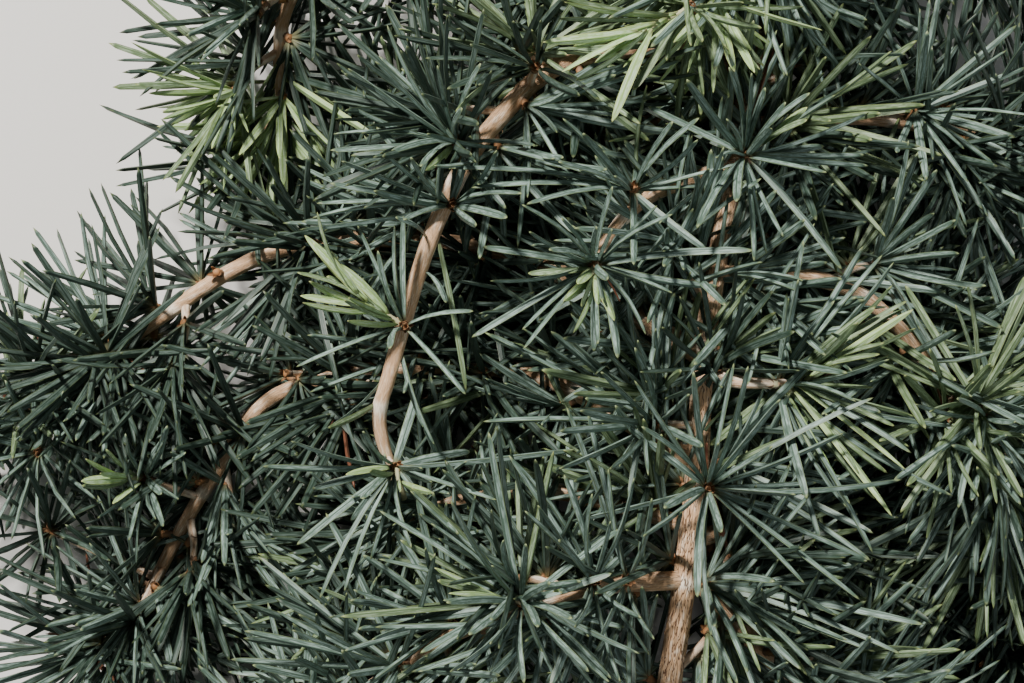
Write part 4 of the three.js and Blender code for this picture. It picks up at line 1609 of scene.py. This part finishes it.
# The name of each kind's finish, the colours of its waxy lines and its tips, and how strong the lines are
NEEDLE_FINISHES = {
    "blue": ("blue-green needles", (0.285, 0.39, 0.35), (0.25, 0.30, 0.13), 0.95),
    # The deep finish is dark enough to serve as painted shade on low sprays and sprays in shade, as well as a
    # darker needle colour.
    "deep": ("deep green needles", (0.09, 0.13, 0.11), (0.12, 0.15, 0.06), 0.95),
    "fresh": ("fresh green needles", (0.29, 0.385, 0.25), (0.29, 0.34, 0.13), 0.95),
    "young": ("young needles", (0.45, 0.585, 0.39), (0.58, 0.60, 0.26), 0.95),
    "withered": ("withered needles", (0.2, 0.09, 0.05), (0.2, 0.1, 0.05), 0.3),
}


class CEDAR_OT_needles(bpy.types.Operator):
    """Sets the needles, one piece for each colour in each part of the branch"""

    bl_idname = "cedar.needles"
    bl_label = "Needles"

    def execute(self, context):
        look = context.scene.cedar_needles
        growth = growth_of(context.scene)
        shapes = [needle_shape(f"{shape.family}_needle_{i}", shape) for i, shape in enumerate(SHAPES)]
        tree = spray_tree("needle sprays", shapes)
        materials = {}
        for kind, (name, band, tip, strength) in NEEDLE_FINISHES.items():
            materials[kind] = needle_material(name, getattr(look, kind), band, tip, strength)
        masses = {}
        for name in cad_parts:
            if name.startswith("needles_"):
                low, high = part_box(name)
                masses.setdefault(part_of((low[0] + high[0]) / 2 / MM), []).append(name)
        for (kind, region), rows in sorted(growth.needles.items()):
            rows = np.array(rows)
            width, length = rows[:, 9:10] / NEEDLE_WIDTH, rows[:, 10:11] / NEEDLE_LENGTH
            thickness = THICKNESS_FROM_WIDTH * width + (1 - THICKNESS_FROM_WIDTH) * length
            sized = np.concatenate([rows[:, :9], width, thickness, length, rows[:, 11:13]], axis=1)
            piece = set_on_points(f"{kind}_needles_{region}", tree, shapes, sized, materials[kind])
            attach(piece, "root")
            "young_needles" if kind == "young" else "needles"
            if kind == "blue":
                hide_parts(*masses[region])
        for shape in shapes:
            bpy.data.objects.remove(shape)
        return {"FINISHED"}


SENSOR_WIDTH = 36.0
FLOOR_HALF = 2.5
SKY_COLOUR = (0.95, 0.98, 1.0)
# Each light's place from the branch and its size, in metres, its share of the key power, and its colour
LIGHTS = (("key", (-0.42, 0.74, 0.95), 0.17, 1.0, (1.0, 0.96, 0.91)),
          ("fill", (0.9, -0.5, 0.8), 1.2, 0.12, (0.9, 0.95, 1.0)))


class CEDAR_OT_stage(bpy.types.Operator):
    """Lays the plain floor, hangs the lights and sets the camera over the branch"""

    bl_idname = "cedar.stage"
    bl_label = "Stage"

    def execute(self, context):
        scene = context.scene
        look = scene.cedar_stage
        middle = in_metres((0, 0, FOCUS_HEIGHT))
        make_floor(look)
        make_lights(scene, look, Vector(middle))
        data = bpy.data.cameras.new("camera")
        data.lens = look.lens
        data.sensor_width = SENSOR_WIDTH
        data.clip_start = 0.01
        camera = bpy.data.objects.new("camera", data)
        camera.location = (middle[0], middle[1], middle[2] + look.distance)
        scene.collection.objects.link(camera)
        scene.camera = camera
        return {"FINISHED"}


def make_floor(look):
    mesh = bpy.data.meshes.new("floor")
    corners = [(x * FLOOR_HALF, y * FLOOR_HALF, 0) for x, y in ((-1, -1), (1, -1), (1, 1), (-1, 1))]
    mesh.from_pydata(corners, [], [(0, 1, 2, 3)])
    material, tree, shader = new_material("plain floor", 0.9, 0.2)
    darker = [c * 0.97 for c in look.floor]
    feed(tree, shader.inputs["Base Color"],
         mixed(tree, noise(tree, own_place(tree), 3.0, 4.0), darker, look.floor))
    new_object("floor", mesh, material)


def make_lights(scene, look, middle):
    world = bpy.data.worlds.new("soft sky")
    world.use_nodes = True
    background = world.node_tree.nodes["Background"]
    background.inputs["Color"].default_value = (*SKY_COLOUR, 1)
    background.inputs["Strength"].default_value = look.sky
    scene.world = world
    for name, offset, size, share, colour in LIGHTS:
        data = bpy.data.lights.new(name, "AREA")
        data.shape = "DISK"
        data.size = size
        data.energy = look.key_power * share
        data.color = colour
        light = bpy.data.objects.new(name, data)
        light.location = middle + Vector(offset)
        light.rotation_euler = (-Vector(offset)).to_track_quat("-Z", "Y").to_euler()
        scene.collection.objects.link(light)


class CEDAR_PT_panel(bpy.types.Panel):
    """The cedar branch's steps, in the order they are run"""

    bl_idname = "CEDAR_PT_panel"
    bl_label = "Cedar branch"
    bl_space_type = "VIEW_3D"
    bl_region_type = "UI"
    bl_category = "Cedar"

    def draw(self, context):
        for operator in STEPS:
            self.layout.operator(operator.bl_idname)


STEPS = (CEDAR_OT_stage, CEDAR_OT_stem, CEDAR_OT_shoots, CEDAR_OT_saw_cut, CEDAR_OT_twigs,
         CEDAR_OT_short_shoots, CEDAR_OT_needles)
LOOKS = (("cedar_wood", CedarWoodLook), ("cedar_needles", CedarNeedleLook), ("cedar_stage", CedarStageLook))


def register():
    for name, group in LOOKS:
        bpy.utils.register_class(group)
        setattr(bpy.types.Scene, name, bpy.props.PointerProperty(type=group))
    for step in (*STEPS, CEDAR_PT_panel):
        bpy.utils.register_class(step)


def unregister():
    for step in (*STEPS, CEDAR_PT_panel):
        bpy.utils.unregister_class(step)
    for name, group in LOOKS:
        delattr(bpy.types.Scene, name)
        bpy.utils.unregister_class(group)


def main():
    register()
    bpy.ops.cedar.stage()
    bpy.ops.cedar.stem()
    bpy.ops.cedar.shoots()
    bpy.ops.cedar.saw_cut()
    bpy.ops.cedar.twigs()
    bpy.ops.cedar.short_shoots()
    bpy.ops.cedar.needles()


if __name__ == "__main__":
    main()
